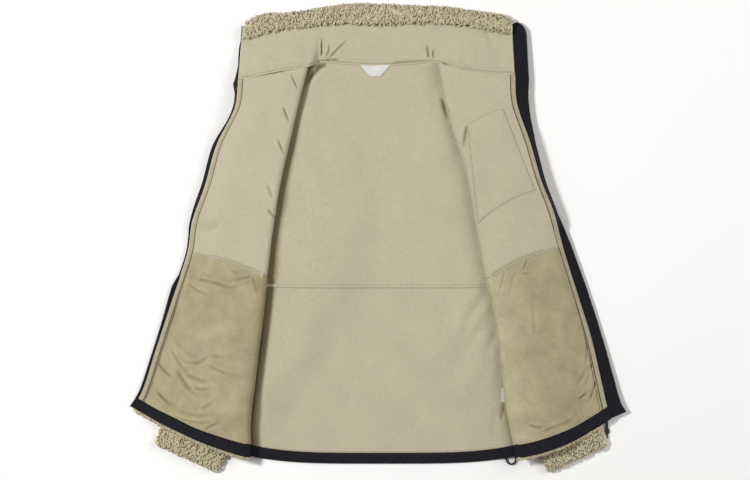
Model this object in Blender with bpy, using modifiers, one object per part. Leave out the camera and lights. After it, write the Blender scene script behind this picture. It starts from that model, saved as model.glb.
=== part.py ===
"""Fleece jacket laid open on its outer back, its fronts folded out and its sleeves under it.

X runs to the wearer's left, Y up to the collar and Z up from the surface that the jacket
lies on. Sizes are in millimetres until a mesh is made; the scene is in metres.

On each side the cloth lies in a Z: the back, then the front with its inner side down (the
under layer), then the visible fold, then the front with its inner side up (the top layer)
out to the zip. The sleeves are flat tubes on the surface, and the back rides over them.
"""
import math

import bpy
import numpy as np

MM = 0.001

# Driving sizes
CLOTH = 5.5           # bonded cloth: smooth fleece inside, sherpa pile outside
BAND = 4.5            # hem band
SATIN = 1.0           # pocket bag in the lower front
POCKET = 1.2          # chest pocket bag
TAPE = 1.0            # edge tape along the front
ZIP_TAPE = 1.6        # zip tape
INNER_COLLAR = 2.5    # smooth fleece of the collar
LABEL = 0.7
SEAM_GAP = 0.3        # between pieces that are sewn together
LAYER_GAP = 1.3       # between layers that lie on each other

FOLD_RADIUS = 5.5     # middle of the cloth, round the visible fold
FOLD_PUFF = 5.5       # how far the top layer stands off the under layer beside the fold
PUFF_REACH = 70.0     # how far from the fold that takes to settle
TAPE_WIDTH = 9.0      # kept for the edge tape, from the front's edge
TAPE_INSET, TAPE_REACH = 1.0, 7.4   # where the tape lies in that width

SLEEVE_HEIGHT = 11.5  # a flat sleeve: two walls of cloth and the slit between them
SLEEVE_SLIT = 1.3
SLEEVE_PIVOT = (-278.0, 28.0)   # underarm of the right sleeve, which turns round it
SLEEVE_TURN_RADIUS = 119.5
SLEEVE_TURN = (75.0, -24.0)     # degrees, from the armhole to the straight run
SLEEVE_LENGTH = 387.5           # straight run to the cuff
SLEEVE_HALF_WIDTHS = (109.0, 92.0, 56.0)   # armhole, end of the turn, cuff
MIRROR_X = 17.0       # x of the left sleeve is this less x of the right one

RAMP_IN = 90.0        # the back comes down from a sleeve over this length
RAMP_OUT = 40.0       # the top layer falls over a sleeve's outer edge over this length
RAMP_START = 6.0
SIDE_FALL = 50.0      # the top layer comes down outside the side seam over this length

COLLAR_ROLL = 17.0    # height of the sherpa roll along the collar's top
NECK_LIFT = 3.5       # the back rises at the neck's corners
NECK_LIFT_REACH = 48.0
NECK_HALF = 102.0     # half the back neck
NECK_DIP = 0.1        # drop of the neckline's middle, as a share of the shoulder's drop
WRAP_TAIL = 4.0       # the front's cloth goes straight down this far beside the back's edge
COLLAR_SEAM = 1.0     # the collar starts this far from the neck's edge
COLLAR_SAG = 0.42     # height left halfway up the collar, of the seam's height
ROLL_SHARE = 0.9      # the roll takes up to this share of the sherpa that shows
ROLL_LIP = ((3.0, 1.5), (0.0, 4.5))   # end of the roll: past the smooth edge, below its top
COLLAR_CLEAR = 0.95   # between the sherpa and the smooth cloth of the collar
ZIP_START = 1.2       # from the front's edge to the zip tape

# Rows of a front from the neck to the hem. fold: the visible fold. edge: the front's edge at
# the zip. side: the armhole and side seam. bow: how far the row's middle lies up the cloth.
FRONT_COLUMNS = ("fold_x", "fold_y", "edge_x", "edge_y", "side_x", "side_y", "bow")
FRONT_ROWS = {
    "right": (
        (-119, 293, -238, 270, -218, 252, -2),
        (-133, 238, -244, 221, -228, 196, 0),
        (-148, 173, -275, 158, -243, 137, 0),
        (-166, 93, -294, 91, -260, 78, 2),
        (-179, 11, -317, 26, -277, 20, 5),
        (-189, -68, -326, -28, -282, -74, 9),
        (-198, -146, -353, -110, -287, -151, 6),
        (-209, -236, -381, -195, -291, -230, 1),
        (-218, -311, -399, -252, -294, -288, -4),
        (-218, -353, -410, -276, -295, -324, -8),
        (-217, -376, -420, -291, -295, -346, -9),
    ),
    "left": (
        (102, 299, 234, 279, 235, 252, -6),
        (114, 238, 237, 228, 245, 196, -2),
        (128, 183, 259, 163, 260, 137, 0),
        (150, 112, 278, 98, 277, 78, 3),
        (164, 35, 300, 40, 294, 20, 6),
        (184, -71, 316, -18, 299, -74, 11),
        (198, -127, 340, -93, 304, -151, 6),
        (210, -212, 365, -172, 308, -230, -1),
        (220, -294, 382, -247, 311, -288, -6),
        (232, -354, 392, -289, 312, -324, -11),
        (235, -376, 401, -308, 312, -346, -12),
    ),
}
NECK_ROW, WAIST_ROW, BAND_ROW, HEM_ROW = 0, 5, 9, 10
BACK_MIDDLE_Y = (296, 232, 160, 85, 5, -84, -160, -238, -312, -369, -387)   # a row each
HALF_SEAM_STEP = 0.009   # half a seam gap, in rows
HALF_BAND_STEP = 0.0095   # the same where the rows lie closer, at the hem band

# Large soft folds. cloth: which layer; x, y: middle; turn: degrees from X; length and width:
# reach of the swell; rise: height, negative for a hollow.
FOLD_COLUMNS = ("cloth", "x", "y", "turn", "length", "width", "rise")
SOFT_FOLDS = (
    ("right", -300, -95, 30, 60, 26, 5.0),
    ("right", -330, -200, 62, 70, 34, -3.0),
    ("right", -265, -300, 12, 75, 24, 5.5),
    ("right", -262, -190, 78, 80, 24, 3.5),
    ("right", -255, 60, 80, 90, 30, 3.0),
    ("right", -225, 190, 70, 70, 28, 2.5),
    ("left", 270, -75, 140, 60, 26, 5.0),
    ("left", 318, -210, 110, 70, 32, -3.0),
    ("left", 300, -270, 20, 70, 24, 4.5),
    ("left", 262, -180, 100, 80, 24, 3.5),
    ("left", 225, 70, 110, 90, 30, 3.0),
    ("left", 185, 205, 115, 60, 26, 2.5),
    ("back", 128, -165, 62, 80, 24, 4.0),
    ("back", 160, -235, 66, 55, 20, 3.0),
    ("back", -120, -190, 100, 80, 24, 3.0),
    ("back", 40, 150, 70, 70, 28, 2.5),
)

# Stations along the collar from its right end. seam, edge of the smooth cloth, top.
COLLAR_COLUMNS = ("seam_x", "seam_y", "smooth_x", "smooth_y", "top_x", "top_y")
COLLAR_STATIONS = (
    (-238, 270, -234, 339, -231, 362),
    (-205, 278, -200, 349, -197, 379),
    (-165, 286, -150, 359, -148, 382),
    (-121, 293, -112, 363, -108, 388),
    (-98, 301, -82, 368, -70, 394),
    (-50, 298, -40, 366, -40, 397),
    (0, 296, 0, 365, 0, 397),
    (55, 298, 55, 368, 60, 394),
    (97, 301, 110, 367, 115, 391),
    (140, 289, 148, 364, 150, 386),
    (181, 283, 181, 359, 181, 382),
    (208, 281, 208, 353, 208, 378),
    (233, 280, 230, 350, 229, 368),
)
COLLAR_ON_BACK = (4, 8)   # stations sewn to the back neck

# Zip tapes. at: row of the front, negative on the collar; width: as seen from above;
# height: of the outer edge.
ZIP_COLUMNS = ("at", "width", "height")
ZIP_ROWS = {
    "right": ((-1, 2.5, 8), (-0.2, 3, 9), (0.1, 8, 9), (0.5, 4, 10), (1.4, 3, 11), (2, 6.5, 12),
              (3.4, 6, 9), (4.4, 2.5, 7), (5, 2.5, 6), (5.6, 7, 5), (6.2, 6, 5), (6.8, 3.5, 4),
              (8, 4, 3), (10, 4, 3)),
    "left": ((-1, 23, 8), (0, 23, 12), (1, 20, 13), (2, 9, 12), (3, 7, 11), (4, 6, 10),
             (5, 14, 7), (6, 17, 6), (7, 17, 6), (8, 21, 8), (9, 23, 10), (10, 24.2, 10)),
}

# Chest pocket bag on the left front: its corners.
POCKET_CORNERS = ((152, 190), (213, 219), (268, 80), (170, 24))

NECK_LABEL = ((-31, 295), (22, 295), (19, 285), (4, 276), (-14, 276), (-28, 285))
SIDE_LABEL = ((208.5, -281), (219.5, -257))

# Hem cord: a loop in the surface's plane below the hem, at the left fold.
CORD_RADIUS = 1.5
CORD_ROUTE = ((219.6, -377.6), (219.8, -380.4), (222.9, -385.8), (228.6, -388.2),
              (234.0, -385.2), (235.8, -379.6), (235.0, -373.2))
CORD_HEIGHT = 3.4

# Zip slider and pull, under the left front's hem corner.
PULL_PIN = (390.0, -298.0, 6.56)
PULL_DIRECTION = -84.0     # degrees, the way the pull lies
PIN_ROLL = -13.5           # degrees; the slider lies against the slope of the cloth above it
PULL_DROOP = 6.8           # degrees from the slider's plate down to the surface
PULL_THICK = 1.4
PULL_EYE = (4.5, 4.2)      # along and across; its middle is PULL_EYE_AT from the pin
PULL_EYE_AT = 2.95
PULL_NECK = ((-0.7, 3.6), (6.5, 3.6), (10.0, 2.1), (30.0, 2.1))   # along, half width
PULL_OVAL = (34.6, 4.6, 4.2)        # middle along the pull, half length, half width
PULL_TAIL = ((39.0, 0.9), (46.5, 0.6))
SLIDER_SIZE = (12.0, 9.0, 3.4)
BRIDGE_LENGTH = 9.0
BRIDGE_OPENING = 6.2       # its length
BRIDGE_GAP = 2.4           # its height
BRIDGE_BAR = 1.2
BRIDGE_WIDTH = 1.7
BRIDGE_SINK = 0.6          # the bridge's feet reach this far into the plate

# Mesh steps
UPPER_STEPS = 12
LOWER_STEPS = 9
BACK_STEPS = 24
TOP_STEPS = 7
ROUND_STEPS = 4
UNDER_STEPS = 5
COLLAR_STEPS = 26
TURN_RINGS = 8
RUN_RINGS = 7

COLOURS = {
    "fleece": ((0.53, 0.47, 0.35), 0.95),
    "sherpa": ((0.50, 0.44, 0.31), 0.98),
    "satin": ((0.44, 0.37, 0.24), 0.42),
    "black": ((0.014, 0.013, 0.017), 0.75),
    "white": ((0.80, 0.79, 0.76), 0.6),
    "plastic": ((0.010, 0.010, 0.012), 0.4),
}
SIDES = {"right": 1.0, "left": -1.0}   # +1 where the cloth runs out towards -X


# ---------------------------------------------------------------- curves through the tables

def through(values, at):
    """Smooth curve through the rows of a table (Catmull-Rom), read at row numbers."""
    values = np.asarray(values, float)
    at = np.clip(np.asarray(at, float), 0, len(values) - 1)
    low = np.minimum(at.astype(int), len(values) - 2)
    step = at - low
    padded = np.vstack([2 * values[:1] - values[1:2], values, 2 * values[-1:] - values[-2:-1]])
    p0, p1, p2, p3 = (padded[low + k] for k in range(4))
    step = step[:, None]
    return 0.5 * (2 * p1 + (p2 - p0) * step + (2 * p0 - 5 * p1 + 4 * p2 - p3) * step ** 2
                  + (3 * p1 - p0 - 3 * p2 + p3) * step ** 3)


def fall(part):
    """1 at part 0, 0 at part 1, as half a cosine wave."""
    return 0.5 + 0.5 * np.cos(math.pi * np.clip(part, 0, 1))


def unit(vectors):
    return vectors / np.linalg.norm(vectors, axis=-1, keepdims=True)


def cross2(a, b):
    return a[..., 0] * b[..., 1] - a[..., 1] * b[..., 0]


def columns(names, table):
    """A table's columns by name; those of a pair _x and _y are also joined as points."""
    values = dict(zip(names, np.asarray(table, float).T))
    points = {name[:-2]: np.stack([values[name], values[name[:-2] + "_y"]], axis=-1)
              for name in names if name.endswith("_x")}
    return {**values, **points}


def front_rows(side, rows):
    """Fold, edge, side seam and bow of a front at row numbers."""
    front = columns(FRONT_COLUMNS, through(FRONT_ROWS[side], rows))
    return front["fold"], front["edge"], front["side"], front["bow"]


def back_edge(side, rows):
    """The back's edge: it lies inside the front's cloth, which turns down round it."""
    fold, _, seam, _ = front_rows(side, rows)
    return seam - unit(seam - fold) * (CLOTH + LAYER_GAP)


# ---------------------------------------------------------------- heights of the layers

def sleeve_path(steps=60):
    """Middle line, width direction and half width of the right sleeve."""
    start, end = (math.radians(angle) for angle in SLEEVE_TURN)
    turn_length = SLEEVE_TURN_RADIUS * (start - end)
    way = np.linspace(0, turn_length + SLEEVE_LENGTH, steps) if np.isscalar(steps) else steps
    angle = start - np.minimum(way, turn_length) / SLEEVE_TURN_RADIUS
    across = np.stack([np.cos(angle), np.sin(angle)], axis=-1)
    ahead = np.stack([np.sin(angle), -np.cos(angle)], axis=-1)
    middle = np.array(SLEEVE_PIVOT) + across * SLEEVE_TURN_RADIUS
    middle += ahead * np.maximum(way - turn_length, 0)[:, None]
    half = np.interp(way, [0, turn_length, turn_length + SLEEVE_LENGTH], SLEEVE_HALF_WIDTHS)
    return middle, across, ahead, half


def ground(points):
    """Underside of the lowest body cloth: the surface, or the sleeves' tops."""
    height = np.zeros(points.shape[:-1])
    middle, _, ahead, half = sleeve_path()
    for side, hand in SIDES.items():
        line = middle if side == "right" else middle * (-1, 1) + (MIRROR_X, 0)
        tangent = ahead if side == "right" else ahead * (-1, 1)
        offset = points[..., None, :] - line
        clear = np.linalg.norm(offset, axis=-1) - half
        nearest = clear.argmin(axis=-1)
        distance = np.take_along_axis(clear, nearest[..., None], -1)[..., 0]
        nearest_offset = points - line[nearest]
        inner = hand * cross2(tangent[nearest], nearest_offset) > 0
        reach = np.where(inner, distance / RAMP_IN, (distance - RAMP_START) / RAMP_OUT)
        height = np.maximum(height, (SLEEVE_HEIGHT + LAYER_GAP) * fall(reach))
    for corner_x in (-NECK_HALF, NECK_HALF):
        away = np.linalg.norm(points - (corner_x, BACK_MIDDLE_Y[0]), axis=-1)
        height = height + NECK_LIFT * np.exp(-(away / NECK_LIFT_REACH) ** 2)
    return height


def soft_folds(cloth, points):
    """Sum of the table's swells: each is a bell, long one way and narrow the other."""
    height = np.zeros(points.shape[:-1])
    swells = [dict(zip(FOLD_COLUMNS, row)) for row in SOFT_FOLDS]
    for swell in (row for row in swells if row["cloth"] == cloth):
        turn = math.radians(swell["turn"])
        along = np.array([math.cos(turn), math.sin(turn)])
        offset = points - (swell["x"], swell["y"])
        reach = ((offset @ along / swell["length"]) ** 2
                 + (cross2(along, offset) / swell["width"]) ** 2)
        height += swell["rise"] * np.exp(-reach)
    return height


def outside(side, line, points):
    """How far points lie outside a line that runs down the cloth (negative inside)."""
    tangent = unit(np.gradient(line, axis=0))
    nearest = np.linalg.norm(points[..., None, :] - line, axis=-1).argmin(axis=-1)
    return -SIDES[side] * cross2(tangent[nearest], points - line[nearest])


def back_height(points):
    """Middle of the back's cloth."""
    return ground(points) + np.maximum(soft_folds("back", points), 0) + CLOTH / 2


def under_height(points):
    """Middle of the under layer, which lies on the back."""
    return back_height(points) + CLOTH + LAYER_GAP


def top_height(side, points):
    """Middle of the top layer: on the under layer, then down over the side and the sleeve."""
    rows = np.linspace(NECK_ROW, HEM_ROW, 120)
    fold, _, seam, _ = front_rows(side, rows)
    shoulder = np.linspace(fold[0], seam[0], 20)[:-1]
    beyond = outside(side, np.vstack([shoulder, seam]), points)
    from_fold = outside(side, fold, points)
    stack = 2 * (CLOTH + LAYER_GAP) * fall(beyond / SIDE_FALL)
    puff = FOLD_PUFF * np.exp(-(from_fold / PUFF_REACH) ** 2) + soft_folds(side, points)
    lifted = np.maximum(soft_folds("back", points), 0) * fall(beyond / SIDE_FALL)
    return ground(points) + lifted + CLOTH / 2 + stack + np.maximum(puff, 0)


# ---------------------------------------------------------------- meshes

def collection(name):
    group = bpy.data.collections.new(name)
    bpy.context.scene.collection.children.link(group)
    return group


def material(name, colour):
    (red, green, blue), roughness = COLOURS[colour]
    made = bpy.data.materials.new(name)
    made.use_nodes = True
    shader = made.node_tree.nodes["Principled BSDF"]
    shader.inputs["Base Color"].default_value = (red, green, blue, 1)
    shader.inputs["Roughness"].default_value = roughness
    shader.inputs["Metallic"].default_value = 0
    return made


def new_object(name, mesh, colour, group):
    piece = bpy.data.objects.new(name, mesh)
    group.objects.link(piece)
    mesh.materials.append(material(name, colour))
    return piece


def grid_mesh(name, grid):
    """Open surface over a grid of points; rows by columns by XYZ, in millimetres."""
    rows, columns = grid.shape[:2]
    index = np.arange(rows * columns).reshape(rows, columns)
    faces = np.stack([index[:-1, :-1], index[1:, :-1], index[1:, 1:], index[:-1, 1:]], axis=-1)
    mesh = bpy.data.meshes.new(name)
    mesh.from_pydata((grid.reshape(-1, 3) * MM).tolist(), [], faces.reshape(-1, 4).tolist())
    mesh.update()
    return mesh


def cloth_sheet(name, grid, thickness, colour, group):
    """A panel: an open surface with the cloth's thickness, half on each side."""
    piece = new_object(name, grid_mesh(name, grid), colour, group)
    piece.data.shade_smooth()
    wall = piece.modifiers.new("cloth", "SOLIDIFY")
    wall.thickness = thickness * MM
    wall.offset = 0
    wall.use_even_offset = True
    return piece


def normals(grid):
    """Normals of a grid of points, on the side that its faces show."""
    down, along = np.gradient(grid, axis=0), np.gradient(grid, axis=1)
    return unit(np.cross(down, along))


def with_height(points, height):
    return np.concatenate([points, height[..., None]], axis=-1)


# ---------------------------------------------------------------- fronts

def front_grid(side, rows):
    """The front's cloth from its edge, over the top layer, round the fold, back along the
    under layer and down round the back's edge. Rows run down the cloth."""
    fold, edge, seam, bow = front_rows(side, rows)
    top_length = np.linalg.norm(edge - fold, axis=-1)
    to_edge, to_seam = unit(edge - fold), unit(seam - fold)
    outer_radius = FOLD_RADIUS + CLOTH / 2

    share = np.linspace(1, 0, TOP_STEPS + 1)
    start = top_length - TAPE_WIDTH - SEAM_GAP
    away = outer_radius + (start - outer_radius)[:, None] * share
    away = np.hstack([top_length[:, None], away])
    part = away / top_length[:, None]
    top = fold[:, None] + to_edge[:, None] * away[..., None]
    top[..., 1] += bow[:, None] * 4 * part * (1 - part)
    top = with_height(top, top_height(side, top))

    seam_length = np.linalg.norm(seam - fold, axis=-1) - CLOTH - LAYER_GAP
    share = np.linspace(0, 1, UNDER_STEPS + 1)
    away = outer_radius + (seam_length - outer_radius)[:, None] * share
    under = fold[:, None] + to_seam[:, None] * away[..., None]
    under = with_height(under, under_height(under))

    turn = np.linspace(0, math.pi, ROUND_STEPS + 2)[1:-1]
    blend = (turn / math.pi)[None, :, None]
    heading = unit(to_edge[:, None] * (1 - blend) + to_seam[:, None] * blend)
    away = outer_radius - FOLD_RADIUS * np.sin(turn)
    level = (top[:, -1, 2] + under[:, 0, 2]) / 2
    radius = (top[:, -1, 2] - under[:, 0, 2]) / 2
    bend = with_height(fold[:, None] + heading * away[None, :, None],
                       level[:, None] + radius[:, None] * np.cos(turn))

    corner = under[:, -1]
    wrap_radius = LAYER_GAP + CLOTH / 2
    sideways = with_height(to_seam, np.zeros(len(rows)))
    wrap = [corner + sideways * wrap_radius * math.sin(turn)
            - np.array([0, 0, wrap_radius * (1 - math.cos(turn))])
            for turn in (math.pi / 4, math.pi / 2)]
    wrap.append(wrap[-1] - np.array([0, 0, WRAP_TAIL]))
    return np.concatenate([top, bend, under, np.stack(wrap, axis=1)], axis=1)


def oriented(side, grid):
    """Column order that shows the grid's inner side of the cloth up, on either hand."""
    return grid if side == "right" else grid[:, ::-1]


def rows_between(first, last, steps, gap_first, gap_last):
    return np.linspace(first + gap_first, last - gap_last, steps + 1)


UPPER_ROWS = rows_between(NECK_ROW, WAIST_ROW, UPPER_STEPS, 0, HALF_SEAM_STEP)
LOWER_ROWS = rows_between(WAIST_ROW, BAND_ROW, LOWER_STEPS, HALF_SEAM_STEP, HALF_BAND_STEP)
BAND_ROWS = rows_between(BAND_ROW, HEM_ROW, 1, HALF_BAND_STEP, 0)


def build_fronts(group):
    for side in SIDES:
        for part, rows, thickness, colour in (("front_%s_upper", UPPER_ROWS, CLOTH, "fleece"),
                                              ("front_%s_lower", LOWER_ROWS, CLOTH, "sherpa"),
                                              ("hem_band_%s", BAND_ROWS, BAND, "black")):
            grid = front_grid(side, rows)
            cloth_sheet(part % side, oriented(side, grid), thickness, colour, group)


def build_pocket_bags(group):
    """Satin over the lower front, from the edge tape round the fold, on the front's points."""
    for side in SIDES:
        grid = oriented(side, front_grid(side, LOWER_ROWS))
        lifted = grid + normals(grid) * (CLOTH / 2 + 2 * SEAM_GAP + SATIN / 2)
        columns = TOP_STEPS + ROUND_STEPS
        shown = lifted[:, 1:columns + 1] if side == "right" else lifted[:, -columns - 1:-1]
        cloth_sheet("pocket_bag_" + side, shown, SATIN, "satin", group)


def build_chest_pocket(group):
    inner_top, outer_top, outer_low, inner_low = (np.array(c, float) for c in POCKET_CORNERS)
    across = np.linspace(0, 1, 6)[None, :, None]
    down = np.linspace(0, 1, 7)[:, None, None]
    points = ((inner_top * (1 - across) + outer_top * across) * (1 - down)
              + (inner_low * (1 - across) + outer_low * across) * down)
    lift = CLOTH / 2 + 2.4 * SEAM_GAP + POCKET / 2
    grid = with_height(points, top_height("left", points) + lift)
    cloth_sheet("chest_pocket_bag", grid, POCKET, "fleece", group)


# ---------------------------------------------------------------- back and hem

def back_grid(rows):
    """The back between its two edges; its top row is the shoulders and the back neck."""
    left_edge, right_edge = back_edge("right", rows), back_edge("left", rows)
    middle_y = through(np.array(BACK_MIDDLE_Y)[:, None], rows)
    share = np.linspace(0, 1, BACK_STEPS + 1)
    x = left_edge[:, :1] * (1 - share) + right_edge[:, :1] * share
    side_y = left_edge[:, 1:] * (1 - share) + right_edge[:, 1:] * share
    beyond_neck = np.clip((np.abs(x) - NECK_HALF) / (np.abs(x[:, [0, -1]]).min() - NECK_HALF), 0, 1)
    neck_rise = -NECK_DIP * np.minimum(np.abs(x) / NECK_HALF, 1) ** 2
    shoulder = np.where(beyond_neck > 0, -NECK_DIP + (1 + NECK_DIP) * beyond_neck, neck_rise)
    lower = (2 * share - 1) ** 4
    blend = np.clip(rows / WAIST_ROW, 0, 1)[:, None]
    shape = shoulder * (1 - blend) + lower * blend
    y = middle_y + (side_y - middle_y) * shape
    points = np.stack([x, y], axis=-1)
    return with_height(points, back_height(points))


def build_back(group):
    cloth_sheet("back_upper", back_grid(UPPER_ROWS), CLOTH, "fleece", group)
    cloth_sheet("back_lower", back_grid(LOWER_ROWS), CLOTH, "fleece", group)
    cloth_sheet("hem_band_back", back_grid(BAND_ROWS), BAND, "black", group)


# ---------------------------------------------------------------- sleeves

def sleeve_ring(middle, across, half, height, level):
    """Flat ring with round sides, 12 points; level is its middle's height."""
    radius = height / 2
    turns = np.radians((-90, -45, 0, 45, 90))
    right = np.stack([half - radius + radius * np.cos(turns), radius * np.sin(turns)], axis=-1)
    left = right[::-1] * (-1, 1)
    section = np.vstack([[(0, -radius)], right, [(0, radius)], left])
    flat = middle + across * section[:, :1]
    return with_height(flat, level + section[:, 1])


def loft(name, rings, colour, group):
    """Closed body through a list of rings with equal numbers of points; flat end caps."""
    count, sides = len(rings), len(rings[0])
    points = np.vstack(rings)
    index = np.arange(count * sides).reshape(count, sides)
    after = np.roll(index, -1, axis=1)
    walls = np.stack([index[:-1], after[:-1], after[1:], index[1:]], axis=-1).reshape(-1, 4)
    faces = walls.tolist() + [index[0, ::-1].tolist(), index[-1].tolist()]
    mesh = bpy.data.meshes.new(name)
    mesh.from_pydata((points * MM).tolist(), [], faces)
    mesh.update()
    mesh.shade_smooth()
    return new_object(name, mesh, colour, group)


def build_sleeves(group):
    """Flat tube: round closed start at the armhole, out along the outside, in at the cuff and
    back along the slit."""
    turn_length = SLEEVE_TURN_RADIUS * math.radians(SLEEVE_TURN[0] - SLEEVE_TURN[1])
    way = np.concatenate([np.linspace(0, turn_length, TURN_RINGS),
                          np.linspace(turn_length, turn_length + SLEEVE_LENGTH, RUN_RINGS)[1:]])
    middle, across, ahead, half = sleeve_path(way)
    level = SLEEVE_HEIGHT / 2
    wall = (SLEEVE_HEIGHT - SLEEVE_SLIT) / 2
    rings = [sleeve_ring(middle[0] - ahead[0] * level * out, across[0], half[0] - level * inset,
                         SLEEVE_HEIGHT * height, level)
             for out, inset, height in ((1.0, 0.7, 0.35), (0.75, 0.35, 0.7))]
    rings += [sleeve_ring(middle[k], across[k], half[k], SLEEVE_HEIGHT, level)
              for k in range(len(way))]
    rings += [sleeve_ring(middle[k], across[k], half[k] - wall, SLEEVE_SLIT, level)
              for k in range(len(way) - 1, 1, -1)]
    for side in SIDES:
        placed = rings
        if side == "left":
            placed = [ring[::-1] * (-1, 1, 1) + (MIRROR_X, 0, 0) for ring in rings]
        loft("sleeve_" + side, placed, "sherpa", group)


# ---------------------------------------------------------------- collar

def collar_lines():
    """Seam, smooth edge and top of the collar with the seam's height, along its length."""
    stations = np.linspace(0, len(COLLAR_STATIONS) - 1, COLLAR_STEPS + 1)
    collar = columns(COLLAR_COLUMNS, through(COLLAR_STATIONS, stations))
    seam, smooth, top = collar["seam"], collar["smooth"], collar["top"]
    first, last = COLLAR_ON_BACK
    on_back = np.clip(np.minimum(stations - first + 1, last + 1 - stations), 0, 1)
    nearest_side = np.where(stations < (first + last) / 2, 0, 1)
    on_front = np.where(nearest_side == 0, top_height("right", seam), top_height("left", seam))
    height = on_front + (back_height(seam) - on_front) * (1 - fall(on_back))
    seam = seam + unit(smooth - seam) * COLLAR_SEAM
    return seam, smooth, top, height


def build_collar(group):
    """Sherpa lies under the smooth cloth and rolls over the top edge; a section is a J."""
    seam, smooth, top, height = collar_lines()
    up = unit(top - seam)
    smooth_way = np.linalg.norm(smooth - seam, axis=-1)
    top_way = np.linalg.norm(top - seam, axis=-1)
    half = CLOTH / 2
    roll = np.minimum(COLLAR_ROLL, (top_way - smooth_way) * ROLL_SHARE)
    middle_height = half + (height - half) * COLLAR_SAG
    rings = []
    for k in range(len(seam)):
        radius = roll[k] / 2
        end = top_way[k] - radius
        turns = np.radians((-90, -40, 0, 40, 90))
        nose = [(end + radius * math.cos(t), radius + radius * math.sin(t)) for t in turns]
        section = [(0, height[k] - half), (smooth_way[k] * 0.5, middle_height[k] - half),
                   (smooth_way[k], 0)]
        section += nose
        section += [(smooth_way[k] + past, roll[k] - below) for past, below in ROLL_LIP]
        section += [(smooth_way[k], CLOTH), (smooth_way[k] * 0.5, middle_height[k] + half),
                    (0, height[k] + half)]
        section = np.array(section)
        rings.append(with_height(seam[k] + up[k] * section[:, :1], section[:, 1]))
    loft("collar_outer", rings, "sherpa", group)

    share = np.array([0, 0.5, 1.0])[None, :]
    way = share * (smooth_way - 0.5)[:, None]
    level = np.stack([height, middle_height, np.full(len(seam), half)], axis=1)
    level += half + COLLAR_CLEAR + INNER_COLLAR / 2
    grid = with_height(seam[:, None] + up[:, None] * way[..., None], level)
    cloth_sheet("collar_inner", grid.transpose(1, 0, 2)[::-1], INNER_COLLAR, "fleece", group)


# ---------------------------------------------------------------- tapes, zip, labels, cord

def build_edge_tapes(group):
    """Narrow tape on the top layer, just inside the front's edge."""
    rows = np.concatenate([[0.02], UPPER_ROWS[1:], LOWER_ROWS])
    for side in SIDES:
        wall = front_grid(side, rows)[:, :2]
        outer, inner = wall[:, 0], wall[:, 1]
        inward = (inner - outer) / (TAPE_WIDTH + SEAM_GAP)
        strip = np.stack([outer + inward * TAPE_INSET, outer + inward * TAPE_REACH], axis=1)
        strip = oriented(side, strip)
        strip += normals(strip) * (CLOTH / 2 + 2 * SEAM_GAP + TAPE / 2)
        cloth_sheet("edge_tape_" + side, strip, TAPE, "fleece", group)


def zip_grid(side):
    """Zip tape from the collar's top, down its end and down the front's edge to the hem."""
    seam, _, top, height = collar_lines()
    end = 0 if side == "right" else -1
    outward = np.array([-SIDES[side], 0])
    rise = np.linspace(1, 0.06, 5)
    collar_part = seam[end] + (top[end] - seam[end]) * rise[:, None]
    collar_level = CLOTH / 2 + (height[end] - CLOTH / 2) * (1 - rise) + 1.5
    rows = np.linspace(0.05, HEM_ROW, 25)
    fold, edge, _, _ = front_rows(side, rows)
    inner = np.vstack([collar_part, edge])
    heading = np.vstack([np.tile(outward, (len(rise), 1)), unit(edge - fold)])
    inner_level = np.concatenate([collar_level, top_height(side, edge)])
    at = np.concatenate([-rise, rows])
    tape = columns(ZIP_COLUMNS, ZIP_ROWS[side])
    width = np.interp(at, tape["at"], tape["width"])
    outer_level = np.interp(at, tape["at"], tape["height"])
    inner = inner + heading * ZIP_START
    outer = inner + heading * width[:, None]
    between = (inner + outer) / 2
    middle_level = inner_level * 0.6 + outer_level * 0.4
    return np.stack([with_height(inner, inner_level), with_height(between, middle_level),
                     with_height(outer, outer_level)], axis=1)


def build_zip_tapes(group):
    for side in SIDES:
        grid = zip_grid(side)
        grid = grid[:, ::-1] if side == "right" else grid
        cloth_sheet("zip_tape_" + side, grid, ZIP_TAPE, "black", group)


def flat_outline(name, outline, thickness, level):
    """2D curve with filled faces, thick both ways from level."""
    curve = bpy.data.curves.new(name, "CURVE")
    curve.dimensions = "2D"
    curve.fill_mode = "BOTH"
    curve.extrude = thickness / 2 * MM
    spline = curve.splines.new("POLY")
    spline.points.add(len(outline) - 1)
    for point, (x, y) in zip(spline.points, outline):
        point.co = (x * MM, y * MM, 0, 1)
    spline.use_cyclic_u = True
    piece = bpy.data.objects.new(name, curve)
    piece.location.z = level * MM
    return piece


def build_labels(group):
    below = back_height(np.array(NECK_LABEL, float)).max() + CLOTH / 2
    level = below + 2 * SEAM_GAP + LABEL / 2
    label = flat_outline("neck_label", NECK_LABEL, LABEL, level)
    group.objects.link(label)
    label.data.materials.append(material("neck_label", "white"))
    (x0, y0), (x1, y1) = SIDE_LABEL
    x, y = np.meshgrid(np.linspace(x0, x1, 3), np.linspace(y1, y0, 3))
    points = np.stack([x, y], axis=-1)
    grid = with_height(points, back_height(points) + CLOTH / 2 + 2 * SEAM_GAP + LABEL / 2)
    cloth_sheet("side_label", grid, LABEL, "white", group)


def build_hem_cord(group):
    """Draw cord that comes out of the hem and goes back in."""
    route = np.array(CORD_ROUTE)
    fine = through(route, np.linspace(0, len(route) - 1, 19))
    curve = bpy.data.curves.new("hem_cord", "CURVE")
    curve.dimensions = "3D"
    curve.bevel_depth = CORD_RADIUS * MM
    curve.bevel_resolution = 2
    curve.use_fill_caps = True
    spline = curve.splines.new("POLY")
    spline.points.add(len(fine) - 1)
    for point, (x, y) in zip(spline.points, fine):
        point.co = (x * MM, y * MM, CORD_HEIGHT * MM, 1)
    cord = bpy.data.objects.new("hem_cord", curve)
    group.objects.link(cord)
    curve.materials.append(material("hem_cord", "black"))


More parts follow.
